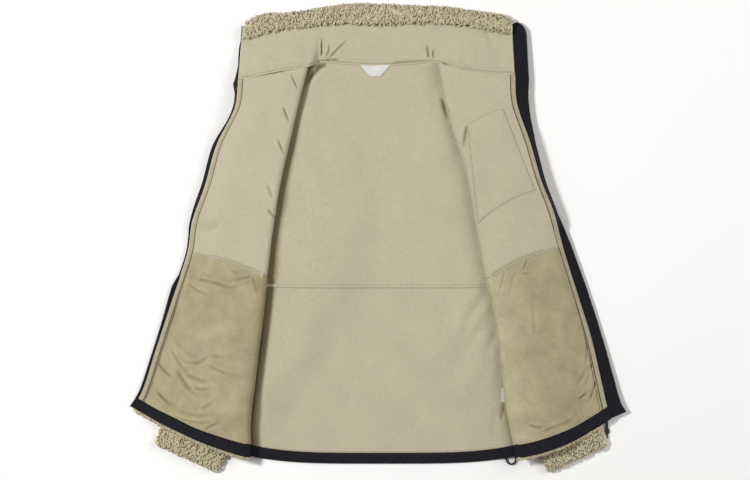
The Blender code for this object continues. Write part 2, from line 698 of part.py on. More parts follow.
def box_mesh(size, middle):
    """Box as a primitive's mesh, with its size and place in the mesh, in millimetres."""
    bpy.ops.mesh.primitive_cube_add(size=1)
    box = bpy.context.active_object
    corners = np.array([vertex.co for vertex in box.data.vertices])
    corners = (corners * size + middle) * MM
    box.data.vertices.foreach_set("co", corners.ravel())
    box.data.update()
    return box


def move_to(piece, group):
    for owner in list(piece.users_collection):
        owner.objects.unlink(piece)
    group.objects.link(piece)


def as_cutter(piece, cutters):
    move_to(piece, cutters)
    piece.hide_render = True
    piece.display_type = "WIRE"


def build_slider_and_pull(group, cutters):
    """The slider sits under the tape; its bridge holds the pull's pin. Local X runs along
    the pull, and the pin is the local Y axis at the origin."""
    length, width, height = SLIDER_SIZE
    plate_low = BRIDGE_GAP / 2
    slider = box_mesh((length, width, height), (0, 0, plate_low + height / 2))
    slider.name = "zip_slider"
    bar_low = -BRIDGE_GAP / 2 - BRIDGE_BAR
    bridge_height = plate_low + BRIDGE_SINK - bar_low
    bridge = box_mesh((BRIDGE_LENGTH, BRIDGE_WIDTH, bridge_height),
                      (0, 0, bar_low + bridge_height / 2))
    bridge.name = "bridge_block"
    opening = box_mesh((BRIDGE_OPENING, BRIDGE_WIDTH * 3, BRIDGE_GAP), (0, 0, 0))
    opening.name = "bridge_opening"
    for cutter in (bridge, opening):
        as_cutter(cutter, cutters)
    for name, operation, tool in (("bridge", "UNION", bridge), ("opening", "DIFFERENCE", opening)):
        step = slider.modifiers.new(name, "BOOLEAN")
        step.operation = operation
        step.object = tool
    move_to(slider, group)
    slider.data.materials.append(material("zip_slider", "plastic"))

    middle, half_length, half_width = PULL_OVAL
    turns = np.radians(np.arange(120, 29, -30))
    oval = [(middle + half_length * math.cos(t), half_width * math.sin(t)) for t in turns]
    one_side = list(PULL_NECK) + oval + list(PULL_TAIL)
    outline = [(x, -y) for x, y in one_side] + one_side[::-1]
    mesh = bpy.data.meshes.new("zip_pull")
    mesh.from_pydata([(x * MM, y * MM, 0) for x, y in outline], [], [list(range(len(outline)))])
    pull = new_object("zip_pull", mesh, "plastic", group)
    plate = pull.modifiers.new("plate", "SOLIDIFY")
    plate.thickness = PULL_THICK * MM
    plate.offset = 0
    eye = box_mesh((*PULL_EYE, 3 * PULL_THICK), (PULL_EYE_AT, 0, 0))
    eye.name = "pull_eye"
    as_cutter(eye, cutters)
    cut = pull.modifiers.new("eye", "BOOLEAN")
    cut.operation = "DIFFERENCE"
    cut.object = eye

    pin = bpy.data.objects.new("pull_pin", None)
    pin.location = [value * MM for value in PULL_PIN]
    pin.rotation_euler = (math.radians(PIN_ROLL), 0, math.radians(PULL_DIRECTION))
    group.objects.link(pin)
    for piece in (slider, pull, bridge, opening, eye):
        piece.parent = pin
    for piece in (pull, eye):
        piece.rotation_euler = (0, math.radians(PULL_DROOP), 0)


def build():
    for old in list(bpy.data.objects):
        bpy.data.objects.remove(old)
    jacket = collection("fleece_jacket")
    cutters = collection("cutters")
    build_back(jacket)
    build_fronts(jacket)
    build_pocket_bags(jacket)
    build_chest_pocket(jacket)
    build_sleeves(jacket)
    build_collar(jacket)
    build_edge_tapes(jacket)
    build_zip_tapes(jacket)
    build_labels(jacket)
    build_hem_cord(jacket)
    build_slider_and_pull(jacket, cutters)


build()
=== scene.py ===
"""Looks of a fleece jacket laid open on its outer back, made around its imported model.

Every cloth is a surface over a grid: rows run down the cloth and columns run across it. Its
middle is the one that the solids have, its faces lie half a thickness to each side along the
normals, and creases, seams and pile are added to those offsets. Lengths are in millimetres
until a mesh is made.
"""
import math

import bpy
import numpy as np
from bpy.props import FloatProperty, FloatVectorProperty, IntProperty, PointerProperty
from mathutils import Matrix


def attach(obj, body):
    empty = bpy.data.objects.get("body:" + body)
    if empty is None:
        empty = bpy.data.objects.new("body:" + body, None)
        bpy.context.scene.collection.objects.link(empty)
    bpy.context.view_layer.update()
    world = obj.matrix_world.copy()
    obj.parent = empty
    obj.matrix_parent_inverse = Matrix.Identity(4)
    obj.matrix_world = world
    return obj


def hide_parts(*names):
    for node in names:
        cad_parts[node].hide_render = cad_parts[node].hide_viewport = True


bl_info = {
    "name": "Fleece jacket laid open",
    "version": (1, 0, 0),
    "blender": (4, 5, 0),
    "location": "View3D > Sidebar > Jacket",
    "description": "Makes the cloths, pile, zip, stitching and stage of a laid-out fleece jacket",
    "category": "Object",
}

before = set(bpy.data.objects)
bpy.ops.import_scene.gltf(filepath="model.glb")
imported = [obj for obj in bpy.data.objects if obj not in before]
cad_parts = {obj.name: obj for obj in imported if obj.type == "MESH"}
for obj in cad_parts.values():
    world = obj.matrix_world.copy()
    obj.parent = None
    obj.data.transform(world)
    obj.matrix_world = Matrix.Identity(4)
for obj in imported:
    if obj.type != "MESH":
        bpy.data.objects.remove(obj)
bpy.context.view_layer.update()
JACKET = "jacket"
MM = 0.001

# Thicknesses of the cloths, and the gaps between sewn pieces and between folded layers.
CLOTH, BAND, SATIN, POCKET, TAPE, ZIP_TAPE = 5.5, 4.5, 1.0, 1.2, 1.0, 1.6
INNER_COLLAR, LABEL, SEAM_GAP, LAYER_GAP = 2.5, 0.7, 0.3, 1.3
# The visible fold, the top layer's puff beside it, and the ends of the turn round the back.
FOLD_RADIUS, FOLD_PUFF, PUFF_REACH = 5.5, 5.5, 70.0
WRAP_TURNS, WRAP_TAILS = (22.5, 45, 67.5, 90), (1.4, 2.6, 3.4, 4.0)
# Edge tape, and what it takes up beside the front's edge; where the zip tape starts.
TAPE_INSET, TAPE_REACH, TAPE_ROOM, ZIP_START, ZIP_HOLLOW = 1.0, 7.4, 9.3, 1.2, 0.2
# The right sleeve: an arc round the underarm and a straight run; the left one is its mirror.
SLEEVE_HEIGHT, SLEEVE_SLIT, SLEEVE_SIDES = 11.5, 1.3, 180
SLEEVE_PIVOT, SLEEVE_TURN_RADIUS, SLEEVE_TURN = (-278.0, 28.0), 119.5, (75.0, -24.0)
SLEEVE_LENGTH, SLEEVE_HALF_WIDTHS, MIRROR_X = 387.5, (109.0, 92.0, 56.0), 17.0
TURN_LENGTH = SLEEVE_TURN_RADIUS * math.radians(SLEEVE_TURN[0] - SLEEVE_TURN[1])
LIP_RINGS, SLIT_RINGS, CUFF_PILE, CUFF_CURLS = 10, 16, 85, 42   # the last two: reach in mm
# How the body's cloth falls beside the sleeves and over the side seams.
RAMP_IN, RAMP_OUT, RAMP_START, SIDE_FALL, RAMP_BLEND = 90.0, 40.0, 6.0, 50.0, 2.4
# Neck and collar; the roll's lip is (past the smooth cloth's edge, below the roll's top) twice.
NECK_LIFT, NECK_LIFT_REACH, NECK_HALF, NECK_DIP = 3.5, 48.0, 102.0, 0.1
COLLAR_ROLL, COLLAR_SEAM, COLLAR_SAG, ROLL_SHARE, COLLAR_CLEAR = 17.0, 1.0, 0.42, 0.9, 0.95
ROLL_LIP = ((3.0, 1.5), (0.0, 4.5))
COLLAR_HEIGHT = 78   # of the smooth cloth, about

# Rows of a front from the neck to the hem: visible fold, edge at the zip, side seam, bow.
FRONT_COLUMNS = ("fold_x", "fold_y", "edge_x", "edge_y", "side_x", "side_y", "bow")
FRONT_ROWS = {
    "right": (
        (-119, 293, -238, 270, -218, 252, -2), (-133, 238, -244, 221, -228, 196, 0),
        (-148, 173, -275, 158, -243, 137, 0), (-166, 93, -294, 91, -260, 78, 2),
        (-179, 11, -317, 26, -277, 20, 5), (-189, -68, -326, -28, -282, -74, 9),
        (-198, -146, -353, -110, -287, -151, 6), (-209, -236, -381, -195, -291, -230, 1),
        (-218, -311, -399, -252, -294, -288, -4), (-218, -353, -410, -276, -295, -324, -8),
        (-217, -376, -420, -291, -295, -346, -9),
    ),
    "left": (
        (102, 299, 234, 279, 235, 252, -6), (114, 238, 237, 228, 245, 196, -2),
        (128, 183, 259, 163, 260, 137, 0), (150, 112, 278, 98, 277, 78, 3),
        (164, 35, 300, 40, 294, 20, 6), (184, -71, 316, -18, 299, -74, 11),
        (198, -127, 340, -93, 304, -151, 6), (210, -212, 365, -172, 308, -230, -1),
        (220, -294, 382, -247, 311, -288, -6), (232, -354, 392, -289, 312, -324, -11),
        (235, -376, 401, -308, 312, -346, -12),
    ),
}
NECK_ROW, WAIST_ROW, BAND_ROW, HEM_ROW = 0, 5, 9, 10
BACK_MIDDLE_Y = (296, 232, 160, 85, 5, -84, -160, -238, -312, -369, -387)
HALF_SEAM_STEP, HALF_BAND_STEP = 0.003, 0.0095
UPPER_ROWS = (NECK_ROW, WAIST_ROW - HALF_SEAM_STEP)
LOWER_ROWS = (WAIST_ROW + HALF_SEAM_STEP, BAND_ROW - HALF_BAND_STEP)
BAND_ROWS = (BAND_ROW + HALF_BAND_STEP, HEM_ROW)
GROUND_STEPS = 200
ALL_ROWS = np.linspace(NECK_ROW, HEM_ROW, GROUND_STEPS)

# Large soft swells: layer, middle, degrees from X, reach along and across, height.
FOLD_COLUMNS = ("cloth", "x", "y", "turn", "length", "width", "rise")
SOFT_FOLDS = (
    ("right", -300, -95, 30, 60, 26, 5.0), ("right", -330, -200, 62, 70, 34, -3.0),
    ("right", -265, -300, 12, 75, 24, 5.5), ("right", -262, -190, 78, 80, 24, 3.5),
    ("right", -255, 60, 80, 90, 30, 3.0), ("right", -225, 190, 70, 70, 28, 2.5),
    ("left", 270, -75, 140, 60, 26, 5.0), ("left", 318, -210, 110, 70, 32, -3.0),
    ("left", 300, -270, 20, 70, 24, 4.5), ("left", 262, -180, 100, 80, 24, 3.5),
    ("left", 225, 70, 110, 90, 30, 3.0), ("left", 185, 205, 115, 60, 26, 2.5),
    ("back", 128, -165, 62, 80, 24, 4.0), ("back", 160, -235, 66, 55, 20, 3.0),
    ("back", -120, -190, 100, 80, 24, 3.0), ("back", 40, 150, 70, 70, 28, 2.5),
)

# Stations along the collar from its right end: seam, edge of the smooth cloth, top.
COLLAR_COLUMNS = ("seam_x", "seam_y", "smooth_x", "smooth_y", "top_x", "top_y")
COLLAR_STATIONS = (
    (-238, 270, -234, 339, -231, 362), (-205, 278, -200, 349, -197, 379),
    (-165, 286, -150, 359, -148, 382), (-121, 293, -112, 363, -108, 388),
    (-98, 301, -82, 368, -70, 394), (-50, 298, -40, 366, -40, 397), (0, 296, 0, 365, 0, 397),
    (55, 298, 55, 368, 60, 394), (97, 301, 110, 367, 115, 391), (140, 289, 148, 364, 150, 386),
    (181, 283, 181, 359, 181, 382), (208, 281, 208, 353, 208, 378),
    (233, 280, 230, 350, 229, 368),
)
COLLAR_ON_BACK = (4, 8)

# Zip tapes: row of the front (negative on the collar), width from above, outer edge's height.
ZIP_COLUMNS = ("at", "width", "height")
ZIP_ROWS = {
    "right": ((-1, 0.5, 8), (-0.7, 0.5, 8), (-0.6, 2.2, 8), (-0.4, 2.2, 9), (-0.25, 1.4, 9),
              (0, 5, 9), (0.1, 8, 9), (0.5, 4, 10), (1.4, 3, 11), (2, 6.5, 12), (3.4, 6, 9),
              (4.4, 2.2, 7), (5, 1.8, 6), (5.45, 2, 5), (5.7, 7, 5), (5.95, 6.4, 5),
              (6.4, 4.2, 5), (6.8, 3.5, 4), (8, 4, 3), (10, 4, 3)),
    "left": ((-1, 9, 8), (-0.96, 15, 8), (-0.9, 19.5, 8), (-0.84, 22, 9), (-0.77, 23, 9),
             (0, 23, 12), (1, 20, 13), (2, 9, 12), (3, 7, 11), (4, 6, 10),
             (5, 14, 7), (6, 17, 6), (7, 17, 6), (8, 21, 8), (9, 23, 10), (10, 24.2, 10)),
}
POCKET_CORNERS, POCKET_BOWS = ((152, 190), (213, 219), (268, 80), (170, 24)), (5, 8)
NECK_LABEL = ((-31, 295), (22, 295), (19, 285), (4, 276), (-14, 276), (-28, 285))
LABEL_SIDES = ((276, -12.5, 2.5), (277.6, -15.5, 5.5), (295, -30.6, 21.6))   # height, left, right
SIDE_LABEL = ((210.4, -281), (219.5, -257))
CORD_RADIUS, CORD_HEIGHT = 1.5, 3.4
CORD_ROUTE = ((219.6, -377.6), (219.8, -380.4), (222.9, -385.8), (228.6, -388.2),
              (234.0, -385.2), (235.8, -379.6), (235.0, -373.2))
SIDES = {"right": 1.0, "left": -1.0}   # +1 where the cloth runs out towards -X

# Each fold's rise near the hem: height, reach, first and last y.
FOLD_RISE = {"right": (5.0, 42.0, -20.0, -140.0), "left": (1.0, 42.0, -20.0, -140.0)}
# Painted shadow on the back beside each fold: y, its reach, the share of the colour lost, and the
# share lost right under the fold, within LINE_REACH.
LEE = {
    "right": ((-390, 13, 0.52, 0.80), (-311, 13, 0.52, 0.80), (-243, 12, 0.52, 0.80),
              (-175, 14.5, 0.58, 0.62), (-107, 15.5, 0.60, 0.20), (-38, 16.5, 0.60, 0),
              (13, 14.5, 0.58, 0), (64, 16.5, 0.60, 0), (149, 12.5, 0.55, 0),
              (205, 8, 0.45, 0), (235, 7.5, 0.45, 0), (260, 6, 0.55, 0.1), (285, 10, 0.6, 0.3)),
    "left": ((-390, 8, 0.20, 0.4), (-300, 8, 0.12, 0.3), (-230, 9, 0.02, 0), (285, 9, 0.02, 0)),
}
LINE_REACH = 4.5
# Painted light and shade on the satin beside its fold: darker on the right front, lighter on the left.
SATIN_PAINTED_LIGHT_AND_SHADE = {"right": (17.0, -0.2), "left": (48.0, 0.24)}   # satin: reach from the fold, change
FLOOR_CLEAR = 0.02   # the pile on the floor is pressed flat
PULL_LINE, PULL_ROOM = ((390.0, -298.0), (394.9, -344.2)), 12.5   # no loose curls so near to it
HEM_CURL = 1.4       # length of the curls under the hem, in curls of the collar
# Painted shade: the narrow creases' troughs are darkened in the colour.
PAINTED_SHADE_WIDTH = 5.6   # creases up to this half width are also darker in their troughs
CURL_FLOOR = 1.9     # lowest middle line of a loose curl
WELT_BELOW, WELT_SUNK, WELT_RADIUS, TURN_RADIUS = 1.6, 0.6, 2.4, 1.9   # collar's welt, band's end
RIM = np.array([0.0, 0.1, 0.28, 0.55])   # close steps at a cloth's edge, where it rounds off
SMALL_RIMS, BAND_RIMS, LABEL_RIMS = (1.2,) * 4, (2.2,) * 4, (0.5,) * 4
SATIN_SPACING, BAND_SPACING, POCKET_SPACING = 1.6, 2.4, 2.2
TAPE_STEPS, SEAM_STEPS, BACK_STEPS, BAND_STEPS = 300, 300, 420, 190
BACK_COARSE, BACK_WIDTH, HIDDEN_CLUMP = 1.35, 560, 1.5   # grid and clumps, in those that show
# Halves of the back: name, node, rows, length. Halves of a front: part, rows, length, squares
# in those of the grid setting, rim at the first row.
BACKS = (("upper_back", "back_upper", UPPER_ROWS, 380),
         ("lower_back", "back_lower", LOWER_ROWS, 270))
FRONTS = (("upper", UPPER_ROWS, 370, 1.0, 3), ("lower", LOWER_ROWS, 270, 1.6, 1.2))
SUNK, SUNK_SHARE = 0.3, 0.5   # how far a lower front sinks under its satin, and in its creases
POCKET_SIZE, POCKET_EASE = (90, 165), 9   # across and down; how far its edge slopes
SEEDS = {"back": 21, "fronts": 22, "satin": 31, "sleeves": 41, "collar": 51, "collar curls": 61,
         "cuff curls": 62, "hem curls": 63, "hem roots": 64, "back band": 12, "front bands": 13}
# Stitch lines across the back: name, row, lift.
BACK_STITCHES = (("back_waist", WAIST_ROW - 0.035, 0.35), ("back_waist", WAIST_ROW + 0.035, 0.35),
                 ("back_hem", BAND_ROW - 0.08, 0.3))
RIDGES = (("upper", WAIST_ROW - 0.026, 0.5), ("lower", WAIST_ROW + 0.030, 1.4))   # row, lift
# Stitch lines across a front: seam, row beside it, pitch share, swing, thread radius, lift.
FRONT_STITCHES = ((WAIST_ROW, WAIST_ROW - 0.028, 0.8, 1.4, 0.42, 1.5),
                  (WAIST_ROW, WAIST_ROW + 0.030, 0.8, 1.4, 0.42, 2.4),
                  (WAIST_ROW, WAIST_ROW, 1.0, 0.0, 0.3, 0.3),
                  (BAND_ROW - 0.08, BAND_ROW - 0.1, 1.0, 0.0, 0.3, 2 * SEAM_GAP + SATIN + 0.15))
RIDGE_ROOM, STITCH_ROOM, TAPE_STITCH = 6, 9, 6.2   # left free at the fold; inset on the tape
# Lines along the edge tape: insets on the right and left, lift, cloth and first row.
PIPINGS = (("outer", (4.2, 4.2), 1.65, "thread", 0), ("inner", (8.0, 8.5), 0.35, "dark thread", 0),
           ("satin", (TAPE_ROOM + 0.3, TAPE_ROOM + 0.3), 1.3, "satin", WAIST_ROW + 0.05))
# A tooth's stations: past the tape's edge, above its middle, radius.
TOOTH = ((-1.6, 0.85, 0.3), (-0.8, 1.15, 0.45), (0.0, 1.1, 0.45), (0.5, 0.5, 0.35))
COLLAR_STEPS, COLLAR_STITCHES = 330, (("low", 2.0), ("high", 6.0))   # stitches: up from the seam
CURLS_FREE, CUFF_COUNT, HEM_COUNT = 6, 1300, 640   # end rings of the roll left free; curls
FAR_LIGHT = (2.6, 12.0, 40.0)   # diameter in metres, heading and elevation in degrees
FLOOR_HALF, FLOOR_LEVEL = 6000, -0.05

# Creases, each as x and y of three points of its line, half width and depth.
CREASES = {
    "right": (
        (-354, -189, -340, -222, -309, -245, 2.8, 1.5),
        (-335, -210, -313, -219, -300, -212, 2.4, 1.2),
        (-291, -220, -264, -230, -236, -243, 3.0, 1.2),
        (-280, -202, -268, -205, -252, -213, 2.4, 1.0),
        (-313, -257, -295, -264, -279, -256, 2.6, 1.3), (-300, -62, -286, -66, -272, -74, 2.4, 1.1),
        (-296, -330, -284, -318, -262, -316, 2.8, 1.4), (-262, -84, -246, -88, -232, -84, 2.6, 1.0),
        (-310, -73, -273, -74, -242, -94, 2.5, 2.3), (-325, -76, -310, -93, -273, -106, 2, 1.8),
        (-213, -66, -231, -73, -258, -75, 2.2, 2.1), (-250, -54, -244, -64, -224, -60, 2, 1.6),
        (-213, -64, -208, -88, -200, -109, 2.2, 1.6), (-378, -213, -362, -232, -346, -245, 2.2, 2.3),
        (-344, -224, -330, -255, -304, -276, 3.4, 2.1), (-378, -263, -362, -279, -349, -294, 2.5, 2.5),
        (-315, -218, -294, -213, -284, -200, 2.7, 1.4), (-328, -234, -299, -250, -278, -245, 3.1, 1.7),
        (-349, -302, -299, -318, -271, -307, 3.4, -2.1), (-302, -294, -289, -287, -273, -278, 2.4, 1.4),
        (-284, -203, -258, -211, -218, -211, 6, 1.1), (-273, -171, -247, -174, -221, -187, 7, 1),
        (-350, -180, -325, -205, -290, -228, 6, 1.2), (-330, -150, -300, -158, -262, -150, 8, 1),
        (-270, -238, -245, -246, -222, -240, 6, 1), (-262, -268, -240, -280, -224, -302, 6, 1.1),
        (-148.5, 277, -141, 262, -135, 247, 1.6, 3.1), (-162, 223, -155, 207, -150, 190, 1.8, 2.6),
        (-171, 168, -164, 151, -159, 137, 2, 2.2), (-188, 50, -181, 38, -175, 30, 2.2, 1.8),
        (-190, 92, -182, 76, -178, 60, 3.1, 1.3), (-250, 130, -225, 120, -196, 122, 14, 0.8),
        (-205, 210, -185, 190, -172, 160, 12, 0.8), (-300, 20, -265, 5, -225, 6, 14, 0.8),
    ),
    "left": (
        (366, -213, 359, -239, 354, -259, 2.4, 1.7), (262, -110, 268, -150, 262, -190, 3.6, 0.9),
        (300, -330, 322, -318, 340, -300, 3.2, 1.1), (232, -60, 226, -82, 224, -108, 2.6, 0.9),
        (255, -38, 247, -52, 246, -60, 1.6, 2.6), (246, -60, 252, -63, 260, -63, 1.5, 2.2),
        (216, -57, 209, -83, 204, -109, 1.8, 1.4), (372, -245, 366, -268, 358, -289, 2, 2.5),
        (340, -276, 350, -271, 360, -262, 2.2, 2.1), (254, -318, 272, -328, 293, -322, 2.5, 2.1),
        (277, -333, 303, -323, 327, -312, 3.1, 1.6), (352, -165, 362, -200, 349, -238, 2.7, 1.7),
        (362, -215, 352, -240, 330, -258, 3.4, 1.4), (300, -120, 282, -150, 275, -190, 9, 0.8),
        (238, -110, 244, -160, 240, -210, 11, 0.8), (320, -140, 330, -175, 322, -205, 10, 0.8),
        (290, -205, 312, -222, 326, -246, 8, 1.4), (236, -260, 250, -285, 276, -300, 7, 1.1),
        (112, 232, 120, 222, 124, 205, 3.4, 2.2), (151, 192, 148, 166, 143, 148, 2.5, 2.6),
        (225, 20, 245, -2, 280, -8, 12, 0.8),
        (160, 262, 172, 240, 174, 218, 11, 0.7), (250, 190, 236, 215, 214, 238, 12, 0.7),
    ),
    "back": (
        (-86, 297, -110, 292, -130, 244, 4, 3.4), (186, -94, 152, -140, 128, -215, 7, 2.2),
        (204, -160, 186, -196, 174, -226, 6, 2.0), (213, -281, 214, -298, 209, -320, 3.4, 2.6),
        (110, 240, 113, 220, 122, 196, 3.1, 3.4), (118, 222, 128, 188, 140, 150, 7, 1.4),
        (188, -95, 158, -120, 132, -168, 9, 1.4), (176, -150, 152, -182, 136, -232, 8, 1.8),
        (196, -200, 180, -232, 172, -268, 7, 1.6), (150, -250, 160, -290, 184, -330, 9, 1.1),
        (206, -290, 196, -318, 200, -352, 6, 2.2), (-186, -100, -160, -96, -130, -102, 9, 0.7),
        (-96, 262, -84, 224, -90, 180, 12, 0.9), (96, 268, 88, 236, 98, 196, 10, 1),
        (-60, -300, -40, -260, -44, -210, 14, 0.7), (60, -330, 72, -290, 62, -240, 14, 0.8),
        (-150, 120, -120, 90, -112, 40, 15, 0.8), (140, 60, 116, 20, 120, -30, 13, 0.8),
        (20, -20, -40, -8, -90, -24, 16, 0.6), (150, 160, 130, 130, 118, 90, 11, 0.8),
    ),
    "collar": (
        (-66, 303, -86, 305, -108, 298, 2.2, 2.4), (22, 299.5, 62, 301, 99, 304, 1.8, 1.9),
        (-96, 308, -98, 328, -95, 346, 1.6, 2.3), (-90, 306, -82, 321, -83, 338, 1.5, 2.2),
        (-86, 304, -68, 326, -44, 344, 1.8, 2.6), (87, 306, 84, 320, 84, 334, 2, 2.5),
        (94, 306, 94, 316, 96, 328, 1.8, 2.2), (-128, 294, -122, 315, -126, 340, 7, 1.2),
        (183, 360, 193, 339, 199, 314, 6, 1.9), (150, 292, 142, 316, 146, 338, 9, 0.8),
        (-190, 286, -184, 306, -190, 328, 10, 0.7), (20, 304, 28, 326, 20, 350, 11, 0.6),
        (-222, 300, -205, 312, -190, 330, 9, 0.8), (214, 292, 206, 306, 190, 318, 8, 1.1),
    ),
}


# ------------------------------------------------------------------ settings

def length_setting(name, default, description, **more):
    return FloatProperty(name=name, default=default, description=description,
                         subtype="DISTANCE", unit="LENGTH", precision=5, **more)


def colour_setting(name, default, description):
    return FloatVectorProperty(name=name, default=default, description=description,
                               subtype="COLOR", size=3, min=0, max=1)


class JacketColours(bpy.types.PropertyGroup):
    """Colours of the jacket's cloths and trims."""
    fleece: colour_setting("Smooth fleece", (0.502, 0.455, 0.334), "Inner face of the cloth")
    sherpa: colour_setting("Sherpa tips", (0.640, 0.562, 0.388), "Tips of the curly pile")
    # Painted shade: the sherpa's colour down between its curls, where their shade falls.
    sherpa_painted_shade: colour_setting("Sherpa depth", (0.420, 0.346, 0.216), "Between the curls")
    satin: colour_setting("Satin", (0.395, 0.334, 0.200), "Pocket bags in the lower fronts")
    tape: colour_setting("Edge tape", (0.470, 0.405, 0.285), "Tape inside the front edges")
    dark_line: colour_setting("Piping", (0.100, 0.076, 0.055), "Dark lines along the tape")
    thread: colour_setting("Thread", (0.480, 0.430, 0.310), "Beige seam thread")
    black: colour_setting("Black cloth", (0.0105, 0.0100, 0.0135), "Hem band, zip tape, cord")
    label: colour_setting("Label", (0.660, 0.660, 0.640), "White labels")
    enamel: colour_setting("Enamel", (0.012, 0.012, 0.014), "Slider and pull")
    floor: colour_setting("Floor", (0.970, 0.970, 0.970), "The surface that it lies on")


class JacketSizes(bpy.types.PropertyGroup):
    """Sizes of the details that lie on the cloths."""
    clump: length_setting("Clump", 0.0088, "Width of a clump of curls")
    pile: length_setting("Pile relief", 0.0024, "Height of the clumps on sherpa that shows")
    curl: length_setting("Curl", 0.0085, "Length of one loose curl")
    stitch: length_setting("Stitch", 0.0026, "Length of one stitch")
    pitch: length_setting("Stitch pitch", 0.0034, "From one stitch to the next")
    tooth: length_setting("Tooth pitch", 0.0013, "From one zip tooth to the next")
    grid: length_setting("Grid", 0.0029, "Width of a square of the visible cloths")
    curl_count: IntProperty(name="Curls", default=2300, min=0, max=6000,
                            description="Loose curls along the collar's roll")
    camera_height: length_setting("Camera height", 5.0, "Camera above the floor")
    frame_width: length_setting("Frame width", 1.2799, "What the photograph's frame spans")
    frame_middle: FloatVectorProperty(name="Frame middle", default=(-0.0051, -0.0043), size=2,
                                      subtype="XYZ", unit="LENGTH", precision=5,
                                      description="Point under the camera")


class JacketLight(bpy.types.PropertyGroup):
    """Key light and fill."""
    key_power: FloatProperty(name="Key power", default=86.0, min=0, unit="POWER",
                             description="Radiant power of the key light")
    key_size: length_setting("Key size", 0.55, "Diameter of the key light")
    key_distance: length_setting("Key distance", 3.4, "From the jacket to the key light")
    key_heading: FloatProperty(name="Key heading", default=166.0, subtype="NONE",
                               description="Degrees from the wearer's left, towards the collar")
    key_elevation: FloatProperty(name="Key elevation", default=52.0, subtype="NONE",
                                 description="Degrees above the floor")
    far_power: FloatProperty(name="Far power", default=50.0, min=0, unit="POWER",
                             description="Radiant power of the wide light from the right")
    fill: FloatProperty(name="Fill", default=0.22, min=0,
                        description="Strength of the even light from all round")


def sizes():
    """The size settings in millimetres, by name."""
    group = bpy.context.scene.jacket_sizes
    return {key: getattr(group, key) / MM for key in
            ("clump", "pile", "curl", "stitch", "pitch", "tooth", "grid")}


# ------------------------------------------------------------------ curves and noise

def through(values, at):
    """Catmull-Rom curve through the rows of a table, read at row numbers."""
    values = np.asarray(values, float)
    at = np.clip(np.asarray(at, float), 0, len(values) - 1)
    low = np.minimum(at.astype(int), len(values) - 2)
    step = (at - low)[:, None]
    padded = np.vstack([2 * values[:1] - values[1:2], values, 2 * values[-1:] - values[-2:-1]])
    p0, p1, p2, p3 = (padded[low + k] for k in range(4))
    return 0.5 * (2 * p1 + (p2 - p0) * step + (2 * p0 - 5 * p1 + 4 * p2 - p3) * step ** 2
                  + (3 * p1 - p0 - 3 * p2 + p3) * step ** 3)


def fall(part):
    """1 at part 0, 0 at part 1, as half a cosine wave."""
    return 0.5 + 0.5 * np.cos(math.pi * np.clip(part, 0, 1))


def smooth(part):
    """0 at part 0, 1 at part 1, flat at both ends."""
    part = np.clip(part, 0, 1)
    return part * part * (3 - 2 * part)


def arch(part):
    """Parabola: 0 at parts 0 and 1, 1 at the middle."""
    return 4 * part * (1 - part)


def unit(vectors):
    return vectors / np.maximum(np.linalg.norm(vectors, axis=-1, keepdims=True), 1e-12)


def beside(ahead):
    """Level unit vectors to the right of the headings."""
    return unit(np.cross(ahead, [0, 0, 1.0]))


def way_along(path):
    return np.concatenate([[0], np.cumsum(np.linalg.norm(np.diff(path, axis=0), axis=-1))])


def cross2(a, b):
    return a[..., 0] * b[..., 1] - a[..., 1] * b[..., 0]


def columns(names, table):
    """A table's columns by name; those of a pair _x and _y are also joined as points."""
    values = dict(zip(names, np.asarray(table, float).T))
    points = {name[:-2]: np.stack([values[name], values[name[:-2] + "_y"]], axis=-1)
              for name in names if name.endswith("_x")}
    return {**values, **points}


def with_height(points, height):
    return np.concatenate([points, height[..., None]], axis=-1)


def chance(a, b, seed):
    """A fixed number from 0 to 1 for each pair of whole numbers: the fraction of a large sine."""
    return np.modf(np.abs(np.sin(a * 127.1 + b * 311.7 + seed * 74.7) * 43758.5453))[0]


def waves(u, v, size, seed):
    """Smooth noise from -1 to 1: chance values on a lattice, joined by S-curves."""
    x, y = u / size, v / size
    cx, cy = np.floor(x), np.floor(y)
    fx, fy = smooth(x - cx), smooth(y - cy)
    low = chance(cx, cy, seed) * (1 - fx) + chance(cx + 1, cy, seed) * fx
    high = chance(cx, cy + 1, seed) * (1 - fx) + chance(cx + 1, cy + 1, seed) * fx
    return 2 * (low * (1 - fy) + high * fy) - 1


def clumps(u, v, size, seed):
    """Heaps of curls from 0 (between) to 1 (tip): domes over one jittered point to each cell of
    a bent lattice, the highest of the nine around a point, each with a height of its own."""
    x = u / size + 0.35 * waves(u, v, size * 1.7, seed + 5)
    y = v / size + 0.35 * waves(u, v, size * 1.7, seed + 9)
    cx, cy = np.floor(x), np.floor(y)
    best = np.zeros(np.shape(x))
    for dx in (-1, 0, 1):
        for dy in (-1, 0, 1):
            a, b = cx + dx, cy + dy
            away = (a + chance(a, b, seed) - x) ** 2 + (b + chance(a, b, seed + 1) - y) ** 2
            dome = np.sqrt(np.clip(1 - away / 0.62, 0, 1)) * (0.6 + 0.4 * chance(a, b, seed + 2))
            best = np.maximum(best, dome)
    return best


